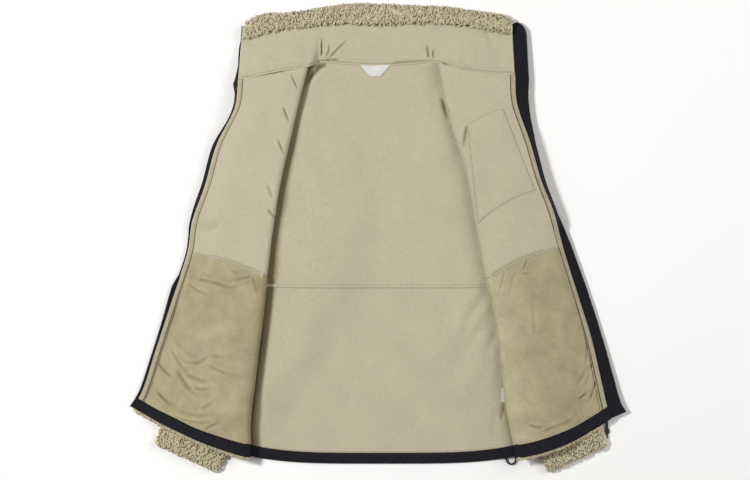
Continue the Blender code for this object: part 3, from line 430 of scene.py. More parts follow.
def crease_parts(cloth, points):
    """Sum of the listed creases, and the part of it that the narrow ones make: across each
    curved line a trough, a bell in the distance from the line, and a lower ridge beside it;
    both fade towards the line's ends."""
    x, y = points[..., 0], points[..., 1]
    total, painted_shade_part = np.zeros(x.shape), np.zeros(x.shape)
    share = np.linspace(0, 1, 17)[:, None]
    for *places, width, depth in CREASES[cloth]:
        corners = np.array(places, float).reshape(3, 2)
        line = ((1 - share) ** 2 * corners[0] + 2 * share * (1 - share) * corners[1]
                + share ** 2 * corners[2])
        reach = 4 * width
        near = ((x > line[:, 0].min() - reach) & (x < line[:, 0].max() + reach)
                & (y > line[:, 1].min() - reach) & (y < line[:, 1].max() + reach))
        if not near.any():
            continue
        spot = points[near][:, :2]
        step = np.diff(line, axis=0)
        offset = spot[:, None] - line[:-1]
        part = np.clip((offset * step).sum(-1) / (step ** 2).sum(-1), 0, 1)
        gap = offset - part[..., None] * step
        distance = np.linalg.norm(gap, axis=-1)
        nearest = distance.argmin(axis=1)
        rows = np.arange(len(spot))
        away = distance[rows, nearest] * np.sign(cross2(step[nearest], gap[rows, nearest]))
        along = (nearest + part[rows, nearest]) / len(step)
        fade = smooth(along / 0.22 + 0.15) * smooth((1 - along) / 0.5)
        shape = (-np.exp(-(away / width) ** 2)
                 + 0.62 * np.exp(-((away - 1.7 * width) / (1.15 * width)) ** 2)
                 + 0.25 * np.exp(-((away + 1.9 * width) / (1.3 * width)) ** 2))
        total[near] += depth * shape * fade
        # The narrow creases' part goes into their painted shade.
        if width <= PAINTED_SHADE_WIDTH:
            painted_shade_part[near] += depth * shape * fade
    return total, painted_shade_part


def crease_relief(cloth, points):
    return crease_parts(cloth, points)[0]


def crease_shade(cloth, points, strength=0.5):
    """Painted shade and highlight: the share of the colour that shows, darker down in a narrow trough,
    lighter on its ridge.
    """
    relief = crease_parts(cloth, points)[1]
    return np.exp(-strength * np.clip(-relief - 0.3, 0, 4)) + 0.05 * np.clip(relief, 0, 2)


def lee_shade(points):
    """Painted shadow: the share of the colour that shows on the back beside the visible folds."""
    share = np.ones(points.shape[:-1])
    y = points[..., 1]
    for side, stations in LEE.items():
        height, *shades = np.array(stations).T
        reach, loss, line_loss = (np.interp(y, height, shade) for shade in shades)
        reach = reach * (1 + 0.1 * waves(y, 0 * y, 30, 14))
        away = np.clip(-from_fold(side, points[..., :2]), 0, None)
        share *= 1 - loss * np.exp(-(away / reach) ** 6)
        share *= 1 - line_loss * np.exp(-(away / LINE_REACH) ** 3)
    return share


def rumple(points):
    """Broad unevenness of soft cloth, two sizes of smooth noise, about half a millimetre."""
    x, y = points[..., 0], points[..., 1]
    return 0.45 * waves(x, y, 46, 3) + 0.22 * waves(x + 17, y, 19, 8)


# ------------------------------------------------------------------ heights of the layers

def front_rows(side, rows):
    front = columns(FRONT_COLUMNS, through(FRONT_ROWS[side], rows))
    return front["fold"], front["edge"], front["side"], front["bow"]


def from_fold(side, points):
    """How far points lie outside a front's visible fold (negative over the back)."""
    return outside(side, front_rows(side, ALL_ROWS)[0], points)


def back_edge(side, rows):
    fold, _, seam, _ = front_rows(side, rows)
    return seam - unit(seam - fold) * (CLOTH + LAYER_GAP)


def sleeve_path(way):
    """Middle line, width direction, heading and half width of the right sleeve along its way:
    an arc round the underarm, then a straight run."""
    start, end = (math.radians(angle) for angle in SLEEVE_TURN)
    turn_length = SLEEVE_TURN_RADIUS * (start - end)
    angle = start - np.minimum(way, turn_length) / SLEEVE_TURN_RADIUS
    across = np.stack([np.cos(angle), np.sin(angle)], axis=-1)
    ahead = np.stack([np.sin(angle), -np.cos(angle)], axis=-1)
    middle = np.array(SLEEVE_PIVOT) + across * SLEEVE_TURN_RADIUS
    middle += ahead * np.maximum(way - turn_length, 0)[:, None]
    half = np.interp(way, [0, turn_length, turn_length + SLEEVE_LENGTH], SLEEVE_HALF_WIDTHS)
    return middle, across, ahead, half


def ground(points):
    """Underside of the lowest body cloth: the surface, or the sleeves' tops, with half cosine
    ramps beside them and a low bell at each corner of the neck."""
    height = np.zeros(points.shape[:-1])
    middle, _, ahead, half = sleeve_path(np.linspace(0, TURN_LENGTH + SLEEVE_LENGTH, GROUND_STEPS))
    for side, hand in SIDES.items():
        line = middle if side == "right" else middle * (-1, 1) + (MIRROR_X, 0)
        tangent = ahead if side == "right" else ahead * (-1, 1)
        offset = points[..., None, :] - line
        clear = np.linalg.norm(offset, axis=-1) - half
        nearest = clear.argmin(axis=-1)
        distance = np.take_along_axis(clear, nearest[..., None], -1)[..., 0]
        inner = hand * cross2(tangent[nearest], points - line[nearest]) > 0
        reach = np.where(inner, distance / RAMP_IN, (distance - RAMP_START) / RAMP_OUT)
        ramp = (SLEEVE_HEIGHT + LAYER_GAP) * fall(reach)
        height = (height + ramp + np.sqrt((height - ramp) ** 2 + RAMP_BLEND ** 2)
                  - RAMP_BLEND) / 2
    for corner_x in (-NECK_HALF, NECK_HALF):
        away = np.linalg.norm(points - (corner_x, BACK_MIDDLE_Y[0]), axis=-1)
        height = height + NECK_LIFT * np.exp(-(away / NECK_LIFT_REACH) ** 2)
    return height


def soft_folds(cloth, points):
    """Sum of the table's swells: each is a bell, long one way and narrow the other."""
    height = np.zeros(points.shape[:-1])
    for swell in (dict(zip(FOLD_COLUMNS, row)) for row in SOFT_FOLDS if row[0] == cloth):
        turn = math.radians(swell["turn"])
        along = np.array([math.cos(turn), math.sin(turn)])
        offset = points - (swell["x"], swell["y"])
        reach = ((offset @ along / swell["length"]) ** 2
                 + (cross2(along, offset) / swell["width"]) ** 2)
        height += swell["rise"] * np.exp(-reach)
    return height


def outside(side, line, points):
    """How far points lie outside a line that runs down the cloth (negative inside)."""
    tangent = unit(np.gradient(line, axis=0))
    nearest = np.linalg.norm(points[..., None, :] - line, axis=-1).argmin(axis=-1)
    return -SIDES[side] * cross2(tangent[nearest], points - line[nearest])


def back_height(points):
    return ground(points) + np.maximum(soft_folds("back", points), 0) + CLOTH / 2


def under_height(points):
    return back_height(points) + CLOTH + LAYER_GAP


def top_height(side, points):
    """Middle of the top layer: two layers over the ground, falling over the side seam, with the
    fold's puff and the table's swells."""
    fold, _, seam, _ = front_rows(side, ALL_ROWS)
    shoulder = np.linspace(fold[0], seam[0], 20)[:-1]
    beyond = outside(side, np.vstack([shoulder, seam]), points)
    away = from_fold(side, points)
    stack = 2 * (CLOTH + LAYER_GAP) * fall(beyond / SIDE_FALL)
    puff = FOLD_PUFF * np.exp(-(away / PUFF_REACH) ** 2) + soft_folds(side, points)
    rise, reach, first, last = FOLD_RISE[side]
    puff += (rise * np.exp(-(away / reach) ** 2)
             * smooth((points[..., 1] - first) / (last - first)))
    lifted = np.maximum(soft_folds("back", points), 0) * fall(beyond / SIDE_FALL)
    return ground(points) + lifted + CLOTH / 2 + stack + np.maximum(puff, 0)


def normals(grid):
    """Unit normals of a grid: its step down the rows crossed with its step along the columns."""
    return unit(np.cross(np.gradient(grid, axis=0), np.gradient(grid, axis=1)))


def rim_steps(first, last, count, near):
    """Even steps with a few close ones at both ends, where the cloth's edge rounds off."""
    close = near * RIM
    return np.concatenate([first + close, np.linspace(first + near, last - near, count),
                           (last - close)[::-1]])


def front_surface(side, rows, grid):
    """Middle of a front's cloth and the share of each column that lies in the top layer: the
    top layer from its edge, a half turn round the visible fold, the under layer, and the turn
    down round the back's edge."""
    fold, edge, seam, bow = front_rows(side, rows)
    top_length = np.linalg.norm(edge - fold, axis=-1)
    to_edge, to_seam = unit(edge - fold), unit(seam - fold)
    outer_radius = FOLD_RADIUS + CLOTH / 2

    near = 3.0 / top_length.max()
    share = np.concatenate([1 - near * RIM,
                            np.linspace(1 - near, 0, int(top_length.max() / grid))])
    away = outer_radius + (top_length - outer_radius)[:, None] * share
    part = away / top_length[:, None]
    top = fold[:, None] + to_edge[:, None] * away[..., None]
    top[..., 1] += bow[:, None] * arch(part)
    top = with_height(top, top_height(side, top))

    seam_length = np.linalg.norm(seam - fold, axis=-1) - CLOTH - LAYER_GAP
    share = np.linspace(0, 1, int(seam_length.max() / (1.6 * grid)) + 1)
    away = outer_radius + (seam_length - outer_radius)[:, None] * share
    under = fold[:, None] + to_seam[:, None] * away[..., None]
    under = with_height(under, under_height(under))

    turn = np.linspace(0, math.pi, 12)[1:-1]
    blend = (turn / math.pi)[None, :, None]
    heading = unit(to_edge[:, None] * (1 - blend) + to_seam[:, None] * blend)
    away = outer_radius - FOLD_RADIUS * np.sin(turn)
    level = (top[:, -1, 2] + under[:, 0, 2]) / 2
    radius = (top[:, -1, 2] - under[:, 0, 2]) / 2
    bend = with_height(fold[:, None] + heading * away[None, :, None],
                       level[:, None] + radius[:, None] * np.cos(turn))

    corner = under[:, -1]
    wrap_radius = LAYER_GAP + CLOTH / 2
    sideways = with_height(to_seam, np.zeros(len(rows)))
    down = np.array([0, 0, 1])
    wrap = [corner + sideways * wrap_radius * math.sin(a) - down * wrap_radius * (1 - math.cos(a))
            for a in np.radians(WRAP_TURNS)]
    wrap += [wrap[-1] - down * tail for tail in WRAP_TAILS]
    whole = np.concatenate([top, bend, under, np.stack(wrap, axis=1)], axis=1)
    shown = np.concatenate([np.ones(top.shape[1]), 1 - turn / math.pi,
                            np.zeros(under.shape[1] + len(wrap))])
    return whole, shown


def back_surface(rows, steps):
    """The back between its two edges; its top row is the shoulders and the back neck."""
    left_edge, right_edge = back_edge("right", rows), back_edge("left", rows)
    middle_y = through(np.array(BACK_MIDDLE_Y)[:, None], rows)
    share = rim_steps(0, 1, steps, 0.006)
    x = left_edge[:, :1] * (1 - share) + right_edge[:, :1] * share
    side_y = left_edge[:, 1:] * (1 - share) + right_edge[:, 1:] * share
    beyond = np.clip((np.abs(x) - NECK_HALF) / (np.abs(x[:, [0, -1]]).min() - NECK_HALF), 0, 1)
    neck_rise = -NECK_DIP * np.minimum(np.abs(x) / NECK_HALF, 1) ** 2
    shoulder = np.where(beyond > 0, -NECK_DIP + (1 + NECK_DIP) * beyond, neck_rise)
    blend = np.clip(rows / WAIST_ROW, 0, 1)[:, None]
    shape = shoulder * (1 - blend) + (2 * share - 1) ** 4 * blend
    points = np.stack([x, middle_y + (side_y - middle_y) * shape], axis=-1)
    return with_height(points, back_height(points))


def collar_lines(steps):
    """Seam, smooth edge and top of the collar with the seam's height, along its length."""
    stations = np.linspace(0, len(COLLAR_STATIONS) - 1, steps + 1)
    collar = columns(COLLAR_COLUMNS, through(COLLAR_STATIONS, stations))
    seam, smooth_edge, top = collar["seam"], collar["smooth"], collar["top"]
    first, last = COLLAR_ON_BACK
    on_back = np.clip(np.minimum(stations - first + 1, last + 1 - stations), 0, 1)
    nearest_side = np.where(stations < (first + last) / 2, 0, 1)
    on_front = np.where(nearest_side == 0, top_height("right", seam), top_height("left", seam))
    height = on_front + (back_height(seam) - on_front) * (1 - fall(on_back))
    return seam + unit(smooth_edge - seam) * COLLAR_SEAM, smooth_edge, top, height


def zip_surface(side, across):
    """Zip tape from the collar's top, down its end and down the front's edge to the hem; it
    falls from the front's edge to the height of its own outer edge."""
    seam, _, top, height = collar_lines(26)
    end = 0 if side == "right" else -1
    outward = np.array([-SIDES[side], 0])
    rise = np.linspace(1, 0.06, 30)
    collar_part = seam[end] + (top[end] - seam[end]) * rise[:, None]
    collar_level = CLOTH / 2 + (height[end] - CLOTH / 2) * (1 - rise) + 1.5
    rows = np.linspace(0.05, HEM_ROW, 170)
    fold, edge, _, _ = front_rows(side, rows)
    inner = np.vstack([collar_part, edge])
    heading = np.vstack([np.tile(outward, (len(rise), 1)), unit(edge - fold)])
    inner_level = np.concatenate([collar_level, top_height(side, edge)])
    at = np.concatenate([-rise, rows])
    tape = columns(ZIP_COLUMNS, ZIP_ROWS[side])
    width = np.interp(at, tape["at"], tape["width"])
    outer_level = np.interp(at, tape["at"], tape["height"])
    inner = inner + heading * ZIP_START
    points = inner[:, None] + heading[:, None] * (width[:, None] * across)[..., None]
    level = inner_level[:, None] * (1 - across) + outer_level[:, None] * across
    level -= ZIP_HOLLOW * (inner_level - outer_level)[:, None] * across * (1 - across)
    return with_height(points, level)


# ------------------------------------------------------------------ meshes

def outward(points, groups):
    """The same faces, all turned round if the volume that they close comes out negative."""
    volume = 0.0
    for faces in groups:
        first = points[faces[:, 0]]
        for k in range(1, faces.shape[1] - 1):
            volume += (first * np.cross(points[faces[:, k]], points[faces[:, k + 1]])).sum()
    return groups if volume > 0 else [faces[:, ::-1] for faces in groups]


def new_piece(name, points, groups, materials, uv=None, pile=None, slots=None):
    """Closed mesh from arrays in millimetres. groups: arrays of faces, each with its own number
    of corners; uv in centimetres and pile per point (how high a curl stands, which the sherpa's
    colour turns into painted shade, or a smooth cloth's painted shade and highlight); slots per face."""
    points = np.asarray(points, float)
    groups = outward(points, groups)
    corners = np.concatenate([faces.ravel() for faces in groups]).astype(np.int32)
    sizes_of = np.concatenate([np.full(len(faces), faces.shape[1]) for faces in groups])
    mesh = bpy.data.meshes.new(name)
    for each in materials:
        mesh.materials.append(each)
    mesh.vertices.add(len(points))
    mesh.vertices.foreach_set("co", (points * MM).astype(np.float32).ravel())
    mesh.loops.add(len(corners))
    mesh.loops.foreach_set("vertex_index", corners)
    mesh.polygons.add(len(sizes_of))
    starts = np.concatenate([[0], np.cumsum(sizes_of)[:-1]]).astype(np.int32)
    mesh.polygons.foreach_set("loop_start", starts)
    mesh.polygons.foreach_set("use_smooth", np.ones(len(sizes_of), bool))
    if slots is not None:
        mesh.polygons.foreach_set("material_index", np.asarray(slots, np.int32))
    mesh.update(calc_edges=True)
    if uv is not None:
        layer = mesh.uv_layers.new(name="cloth")
        layer.data.foreach_set("uv", uv[corners].astype(np.float32).ravel())
    values = np.ones(len(points)) if pile is None else np.asarray(pile, float).ravel()
    mesh.attributes.new("pile", "FLOAT", "POINT").data.foreach_set("value", values)
    piece = bpy.data.objects.new(name, mesh)
    bpy.context.scene.collection.objects.link(piece)
    return piece


def grid_faces(rows, cols):
    index = np.arange(rows * cols).reshape(rows, cols)
    return np.stack([index[:-1, :-1], index[1:, :-1], index[1:, 1:], index[:-1, 1:]],
                    axis=-1).reshape(-1, 4)


def ways(grid):
    """Lengths down the rows and across the columns from a grid's first corner."""
    down = np.linalg.norm(np.diff(grid, axis=0), axis=-1)
    across = np.linalg.norm(np.diff(grid, axis=1), axis=-1)
    down = np.concatenate([np.zeros((1, grid.shape[1])), np.cumsum(down, axis=0)])
    across = np.concatenate([np.zeros((grid.shape[0], 1)), np.cumsum(across, axis=1)], axis=1)
    return down, across


def rounding(distance, radius, least):
    """Share of the thickness beside an edge: a quarter circle of that radius."""
    part = 1 - np.clip(distance / radius, 0, 1)
    return np.maximum(np.sqrt(1 - part ** 2), least)


def shell(name, middle, thickness, materials, rims, face=0.0, back=0.0, back_pile=1.0,
          painted_face_shade=1.0):
    """Closed cloth: a face and a back, each half the thickness and its relief away from the
    middle along the normals, joined round the rims. rims: radius at the first and last row and
    the first and last column; a seam's rim is small and keeps most of the thickness."""
    rows, cols = middle.shape[:2]
    down, across = ways(middle)
    ends = (down, down[-1] - down, across, across[:, -1:] - across)
    keep = np.ones((rows, cols))
    for distance, radius in zip(ends, rims):
        keep = keep * rounding(distance, radius, 0.62 if radius < 2 else 0.2)
    up = normals(middle)
    top = middle + up * ((thickness / 2 + face) * keep)[..., None]
    low = middle - up * ((thickness / 2 + back) * keep)[..., None]
    count = rows * cols
    top_faces = grid_faces(rows, cols)
    index = np.arange(count).reshape(rows, cols)
    loop = np.concatenate([index[:-1, 0], index[-1, :-1], index[:0:-1, -1], index[0, :0:-1]])
    after = np.roll(loop, -1)
    wall = np.stack([after, loop, loop + count, after + count], axis=-1)
    slots = None
    if len(materials) > 1:
        slots = np.repeat([0, 1], [len(top_faces), len(top_faces) + len(wall)])
    uv = np.stack([across, down], axis=-1).reshape(-1, 2) / 10
    # Painted shade per point: the face's is its creases' and folds' painted shade, the back's is the
    # pile's heights, which the sherpa paints as shade between its clumps.
    pile = np.stack([np.broadcast_to(each, (rows, cols)) for each in (painted_face_shade, back_pile)])
    return new_piece(name, np.vstack([top.reshape(-1, 3), low.reshape(-1, 3)]),
                     [np.vstack([top_faces, top_faces[:, ::-1] + count, wall])],
                     materials, np.vstack([uv, uv]), pile, slots)


def loft(name, rings, materials, pile=None):
    """Closed body through rings of equal numbers of points; its ends are flat."""
    count, sides = rings.shape[:2]
    index = np.arange(count * sides).reshape(count, sides)
    after = np.roll(index, -1, axis=1)
    walls = np.stack([index[:-1], after[:-1], after[1:], index[1:]], axis=-1).reshape(-1, 4)
    return new_piece(name, rings.reshape(-1, 3), [walls, index[:1, ::-1], index[-1:]],
                     materials, None, pile)


def tube(name, path, radius, sides, materials):
    """Round rod along a path: rings of even points in the plane across it."""
    path = np.asarray(path, float)
    ahead = unit(np.gradient(path, axis=0))
    side = beside(ahead)
    over = np.cross(ahead, side)
    turn = np.arange(sides) * 2 * math.pi / sides
    size = np.broadcast_to(np.asarray(radius, float), (len(path), sides))[..., None]
    rings = path[:, None] + size * (np.cos(turn)[:, None] * side[:, None]
                                    + np.sin(turn)[:, None] * over[:, None])
    return loft(name, rings, materials)


def strands(name, paths, radius, across, materials, pile=None):
    """Many small tapered rods in one mesh, three-sided, one to each path of points; radius has
    one value to a station, and across is each rod's sideways direction."""
    paths = np.asarray(paths, float)
    count, steps = paths.shape[:2]
    ahead = unit(np.gradient(paths, axis=1))
    side = unit(across[:, None] - (across[:, None] * ahead).sum(-1, keepdims=True) * ahead)
    over = np.cross(ahead, side)
    turn = math.pi / 2 + np.arange(3) * 2 * math.pi / 3
    ring = np.cos(turn)[:, None] * side[:, :, None] + np.sin(turn)[:, None] * over[:, :, None]
    size = np.broadcast_to(radius, (count, steps))[..., None, None]
    points = paths[:, :, None] + size * ring
    index = np.arange(count * steps * 3).reshape(count, steps, 3)
    after = np.roll(index, -1, axis=2)
    walls = np.stack([index[:, :-1], after[:, :-1], after[:, 1:], index[:, 1:]], axis=-1)
    ends = np.vstack([index[:, 0, ::-1], index[:, -1]])
    if pile is not None:
        pile = np.repeat(np.broadcast_to(pile, (count, steps))[..., None], 3, axis=2)
    return new_piece(name, points.reshape(-1, 3), [walls.reshape(-1, 4), ends], materials, None,
                     pile)


def along(path, pitch, length):
    """Starts and ends of pieces of that length, one to each pitch along a path."""
    way = way_along(path)
    start = np.arange(pitch / 2, way[-1] - length, pitch)
    at = [start + length * part for part in (0, 0.3, 0.7, 1)]
    return np.stack([np.stack([np.interp(a, way, path[:, k]) for k in range(3)], axis=-1)
                     for a in at], axis=1)


def stitch_paths(path, pitch, length, swing):
    """Stitches along a path: each dips into the cloth at both ends; with a swing they go from
    side to side."""
    paths = along(path, pitch, length)
    side = beside(unit(paths[:, -1] - paths[:, 0]))
    hand = np.where(np.arange(len(paths)) % 2 == 0, 1.0, -1.0)
    part = np.array([-1, -0.5, 0.5, 1])
    paths = paths + side[:, None] * (hand[:, None] * part * swing)[..., None]
    paths[..., 2] += np.array([-0.35, 0.2, 0.2, -0.35])
    return paths, side


# ------------------------------------------------------------------ cuts

def cut_size(grid, around=False):
    """Width, length and area in metres of the flat cut that a grid was sewn or laid from."""
    if around:
        grid = np.concatenate([grid, grid[:, :1]], axis=1)
    down, across = ways(grid)
    one, two = grid[1:, 1:] - grid[:-1, :-1], grid[1:, :-1] - grid[:-1, 1:]
    area = np.linalg.norm(np.cross(one, two), axis=-1).sum() / 2
    width, length = float(across[:, -1].max()), float(down[-1].max())
    return (width * MM, length * MM), min(area, width * length) * MM * MM


def dress(piece, nodes=()):
    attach(piece, JACKET)
    if nodes:
        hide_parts(*nodes)
    return piece


def declare(grid, around=False, faces=1):
    """Works out a cloth's flat cut and compares its narrower side with a centimetre, below which a tape
    would be trim; nothing is kept of it. faces is 2 where the grid goes round both faces of the cloth."""
    (width, length), area = cut_size(grid, around)
    flat, area = (width / faces, length), area / faces
    min(flat) >= 0.01


# ------------------------------------------------------------------ materials

def new_material(name, **sockets):
    """Principled material; the sockets' constant values by their names in lower case."""
    made = bpy.data.materials.new(name)
    made.use_nodes = True
    shader = made.node_tree.nodes["Principled BSDF"]
    for key, value in sockets.items():
        shader.inputs[key.replace("_", " ").title().replace("Ior", "IOR")].default_value = value
    return made, made.node_tree, shader


def add(tree, kind, inputs=None, **settings):
    """Node of that kind; inputs takes values or the sockets that feed it."""
    node = tree.nodes.new("ShaderNode" + kind)
    for key, value in settings.items():
        setattr(node, key, value)
    for key, value in (inputs or {}).items():
        if isinstance(value, bpy.types.NodeSocket):
            tree.links.new(value, node.inputs[key])
        else:
            node.inputs[key].default_value = value
    return node


def object_place(tree):
    return add(tree, "TexCoord").outputs["Object"]


def cloud(tree, place, size, detail=2.0, stretch=None):
    """Noise with patches of about that size in millimetres, from 0 to 1."""
    if stretch is not None:
        place = add(tree, "Mapping", {"Vector": place, "Scale": stretch}).outputs["Vector"]
    return add(tree, "TexNoise", {"Vector": place, "Scale": 1000 / size, "Detail": detail,
                                  "Roughness": 0.6}).outputs["Fac"]


def cells(tree, place, size):
    """Distance from the nearest of many scattered points, about that far apart."""
    return add(tree, "TexVoronoi", {"Vector": place, "Scale": 1000 / size}).outputs["Distance"]


def total(tree, *parts):
    """Sum of sockets, each times its share."""
    result = None
    for socket, share in parts:
        scaled = add(tree, "Math", {0: socket, 1: share}, operation="MULTIPLY").outputs[0]
        result = scaled if result is None else add(
            tree, "Math", {0: result, 1: scaled}, operation="ADD").outputs[0]
    return result


def between(tree, factor, first, second, low=0.0, high=1.0):
    """Colour that runs from the first to the second as the factor goes from low to high."""
    part = add(tree, "MapRange", {"Value": factor, "From Min": low, "From Max": high})
    mix = add(tree, "Mix", data_type="RGBA")
    tree.links.new(part.outputs["Result"], mix.inputs[0])
    mix.inputs[6].default_value = (*first, 1)
    mix.inputs[7].default_value = (*second, 1)
    return mix.outputs[2]


def shaded(tree, colour):
    """A colour socket times the painted shade and light in the pile attribute, warmer where the painted
    shade is deeper.
    """
    share = add(tree, "Attribute", attribute_name="pile").outputs["Fac"]
    warm = add(tree, "CombineColor")
    for channel, power in (("Red", 0.85), ("Green", 1.02), ("Blue", 1.25)):
        bent = add(tree, "Math", {0: share, 1: power}, operation="POWER").outputs[0]
        tree.links.new(bent, warm.inputs[channel])
    mix = add(tree, "Mix", {0: 1.0, 6: colour, 7: warm.outputs["Color"]}, data_type="RGBA",
              blend_type="MULTIPLY")
    return mix.outputs[2]


def times(colour, share):
    return tuple(min(1.0, value * share) for value in colour)


def raise_by(tree, shader, height, depth, strength=1.0):
    """Bump of that depth in millimetres from a height socket."""
    bump = add(tree, "Bump", {"Height": height, "Distance": depth * MM, "Strength": strength})
    tree.links.new(bump.outputs["Normal"], shader.inputs["Normal"])


def fleece_material(name, colour, sheen):
    """Brushed knit: soft mottle, short fuzz as fine bumps, a dull sheen, and any painted shade and
    highlight from its pile attribute.
    """
    made, tree, shader = new_material(name, roughness=0.95, sheen_weight=sheen,
                                      sheen_roughness=0.5, specular_ior_level=0.15)
    place = object_place(tree)
    broad, middle = cloud(tree, place, 60, 2), cloud(tree, place, 6, 2)
    fuzz = cloud(tree, place, 1.9, 2)
    mottle = total(tree, (broad, 0.22), (middle, 0.18), (fuzz, 0.6))
    tone = between(tree, mottle, times(colour, 0.88), times(colour, 1.08), 0.36, 0.64)
    tree.links.new(shaded(tree, tone), shader.inputs["Base Color"])
    raise_by(tree, shader, total(tree, (fuzz, 0.75), (middle, 0.35)), 0.9, 0.6)
    return made


def sherpa_material(name, tips, depth):
    """Curly pile: painted shade between the curls, from how low the pile stands, light on their tips,
    rough with fine locks.
    """
    made, tree, shader = new_material(name, roughness=0.97, sheen_weight=0.3,
                                      sheen_roughness=0.6, specular_ior_level=0.1)
    place = object_place(tree)
    pile = add(tree, "Attribute", attribute_name="pile").outputs["Fac"]
    bent = add(tree, "Mix", {0: 0.006, 4: place}, data_type="VECTOR")
    tree.links.new(add(tree, "TexNoise", {"Vector": place, "Scale": 260}).outputs["Color"],
                   bent.inputs[5])
    curls = cells(tree, bent.outputs[1], 4.4)
    lumps = cells(tree, place, 9)
    fine = cloud(tree, place, 2.0, 3)
    # Painted shade: darker where the pile, its curls and its lumps stand lower; the broad cloud is
    # random tone.
    light = total(tree, (pile, 0.5), (fine, 0.24), (curls, -0.12), (lumps, -0.12),
                  (cloud(tree, place, 24, 2), 0.4))
    tree.links.new(between(tree, light, depth, tips, 0.1, 0.66), shader.inputs["Base Color"])
    raise_by(tree, shader, total(tree, (fine, 0.5), (curls, -1.0), (lumps, -1.0)), 1.1, 0.6)
    return made


def satin_material(name, colour):
    """Fine woven lining: a close grain, uneven along the threads, a soft broad gloss, and any painted
    light and shade from its pile attribute.
    """
    made, tree, shader = new_material(name, roughness=0.56, sheen_weight=0.15,
                                      sheen_roughness=0.35, specular_ior_level=0.24)
    place = object_place(tree)
    broad = cloud(tree, place, 30, 3)
    warp = cloud(tree, place, 1.6, 3, (1.0, 0.12, 1.0))
    weft = cloud(tree, place, 1.6, 3, (0.12, 1.0, 1.0))
    tone = total(tree, (broad, 0.5), (warp, 0.25), (weft, 0.25))
    tone = between(tree, tone, times(colour, 0.78), times(colour, 1.1), 0.34, 0.62)
    tree.links.new(shaded(tree, tone), shader.inputs["Base Color"])
    raise_by(tree, shader, total(tree, (warp, 0.5), (weft, 0.5)), 0.25, 0.5)
    return made


def rib_material(name, colour, size, stretch):
    """Close-ribbed black cloth: rows of dark bumps with a little lint."""
    made, tree, shader = new_material(name, roughness=0.85, sheen_weight=0.05,
                                      sheen_roughness=0.4, specular_ior_level=0.15)
    place = object_place(tree)
    rows = cloud(tree, place, size, 2, stretch)
    lint = cloud(tree, place, 0.9, 3)
    tree.links.new(between(tree, total(tree, (rows, 0.6), (lint, 0.4)), times(colour, 0.65),
                           times(colour, 1.7), 0.35, 0.68), shader.inputs["Base Color"])
    raise_by(tree, shader, total(tree, (rows, 0.7), (lint, 0.3)), 0.5, 0.7)
    return made


def thread_material(name, colour, roughness):
    """Twisted thread: light and dark along it, a slight gloss."""
    made, tree, shader = new_material(name, roughness=roughness, sheen_weight=0.15,
                                      specular_ior_level=0.35)
    place = object_place(tree)
    twist = cloud(tree, place, 0.7, 2)
    tone = total(tree, (twist, 0.6), (cloud(tree, place, 9, 2), 0.4))
    tree.links.new(between(tree, tone, times(colour, 0.65), times(colour, 1.25), 0.36, 0.64),
                   shader.inputs["Base Color"])
    raise_by(tree, shader, twist, 0.2, 0.6)
    return made


def enamel_material(name, colour):
    """Black enamel on cast metal: glossy, with faint wear where the hand takes it."""
    made, tree, shader = new_material(name, metallic=0.35, roughness=0.32, coat_weight=0.4,
                                      coat_roughness=0.2)
    place = object_place(tree)
    wear = cloud(tree, place, 2.4, 4)
    tree.links.new(between(tree, wear, colour, times(colour, 3.4), 0.55, 0.8),
                   shader.inputs["Base Color"])
    raise_by(tree, shader, cloud(tree, place, 1.2, 2), 0.06, 0.5)
    return made


def floor_material(name, colour):
    made, tree, shader = new_material(name, roughness=0.9, specular_ior_level=0.1)
    mottle = cloud(tree, object_place(tree), 600, 2)
    tree.links.new(between(tree, mottle, times(colour, 0.995), colour, 0.3, 0.7),
                   shader.inputs["Base Color"])
    return made


def materials():
    """The jacket's materials by key, each made once from the colour settings."""
    colours = bpy.context.scene.jacket_colours
    black = colours.black
    recipes = {
        "fleece": ("brushed fleece", fleece_material, colours.fleece, 0.25),
        "sherpa": ("curly sherpa", sherpa_material, colours.sherpa, colours.sherpa_painted_shade),
        "satin": ("lining satin", satin_material, colours.satin),
        "edge tape": ("edge binding", fleece_material, colours.tape, 0.1),
        "band": ("ribbed hem", rib_material, black, 1.6, (1.0, 0.35, 1.0)),
        "zip tape": ("zip twill", rib_material, times(black, 0.9), 1.1, (1.0, 1.0, 1.0)),
        "cord": ("braided cord", rib_material, black, 1.0, (1.0, 1.0, 1.0)),
        "label": ("label satin", satin_material, colours.label),
        "thread": ("beige thread", thread_material, colours.thread, 0.7),
        "dark thread": ("dark piping", thread_material, colours.dark_line, 0.7),
        "enamel": ("black enamel", enamel_material, colours.enamel),
        "teeth": ("zip coil", thread_material, times(black, 1.2), 0.4),
    }
    return {key: bpy.data.materials.get(name) or make(name, *rest)
            for key, (name, make, *rest) in recipes.items()}


# ------------------------------------------------------------------ operators

def row_steps(ends, count):
    """Row numbers with a few close ones at the ends, where the cloth rounds off."""
    first, last = ends
    return rim_steps(first, last, count, (last - first) * 1.6 / count)


def oriented(side, grid):
    """Column order that shows the inner side of a front's cloth up, on either hand."""
    return grid if side == "right" else grid[:, ::-1]


def front_cloth(side, rows, spacing):
    grid, shown = front_surface(side, rows, spacing)
    return oriented(side, grid), oriented(side, shown[None])


def front_point(side, rows, inset, lift):
    """Points on the top layer that far from the front's edge, lifted above its face; rows or
    inset may be one value for all."""
    rows, inset = np.broadcast_arrays(rows, inset)
    fold, edge, _, bow = front_rows(side, rows)
    length = np.linalg.norm(edge - fold, axis=-1)
    away = length - inset
    part = away / length
    points = fold + unit(edge - fold) * away[:, None]
    points[:, 1] += bow * arch(part)
    height = top_height(side, points) + CLOTH / 2 + lift
    return with_height(points, height + crease_relief(side, points) + rumple(points))


class JacketStep:
    """Shared settings of the steps; each step makes its pieces when it is called."""
    bl_options = {"REGISTER", "UNDO"}


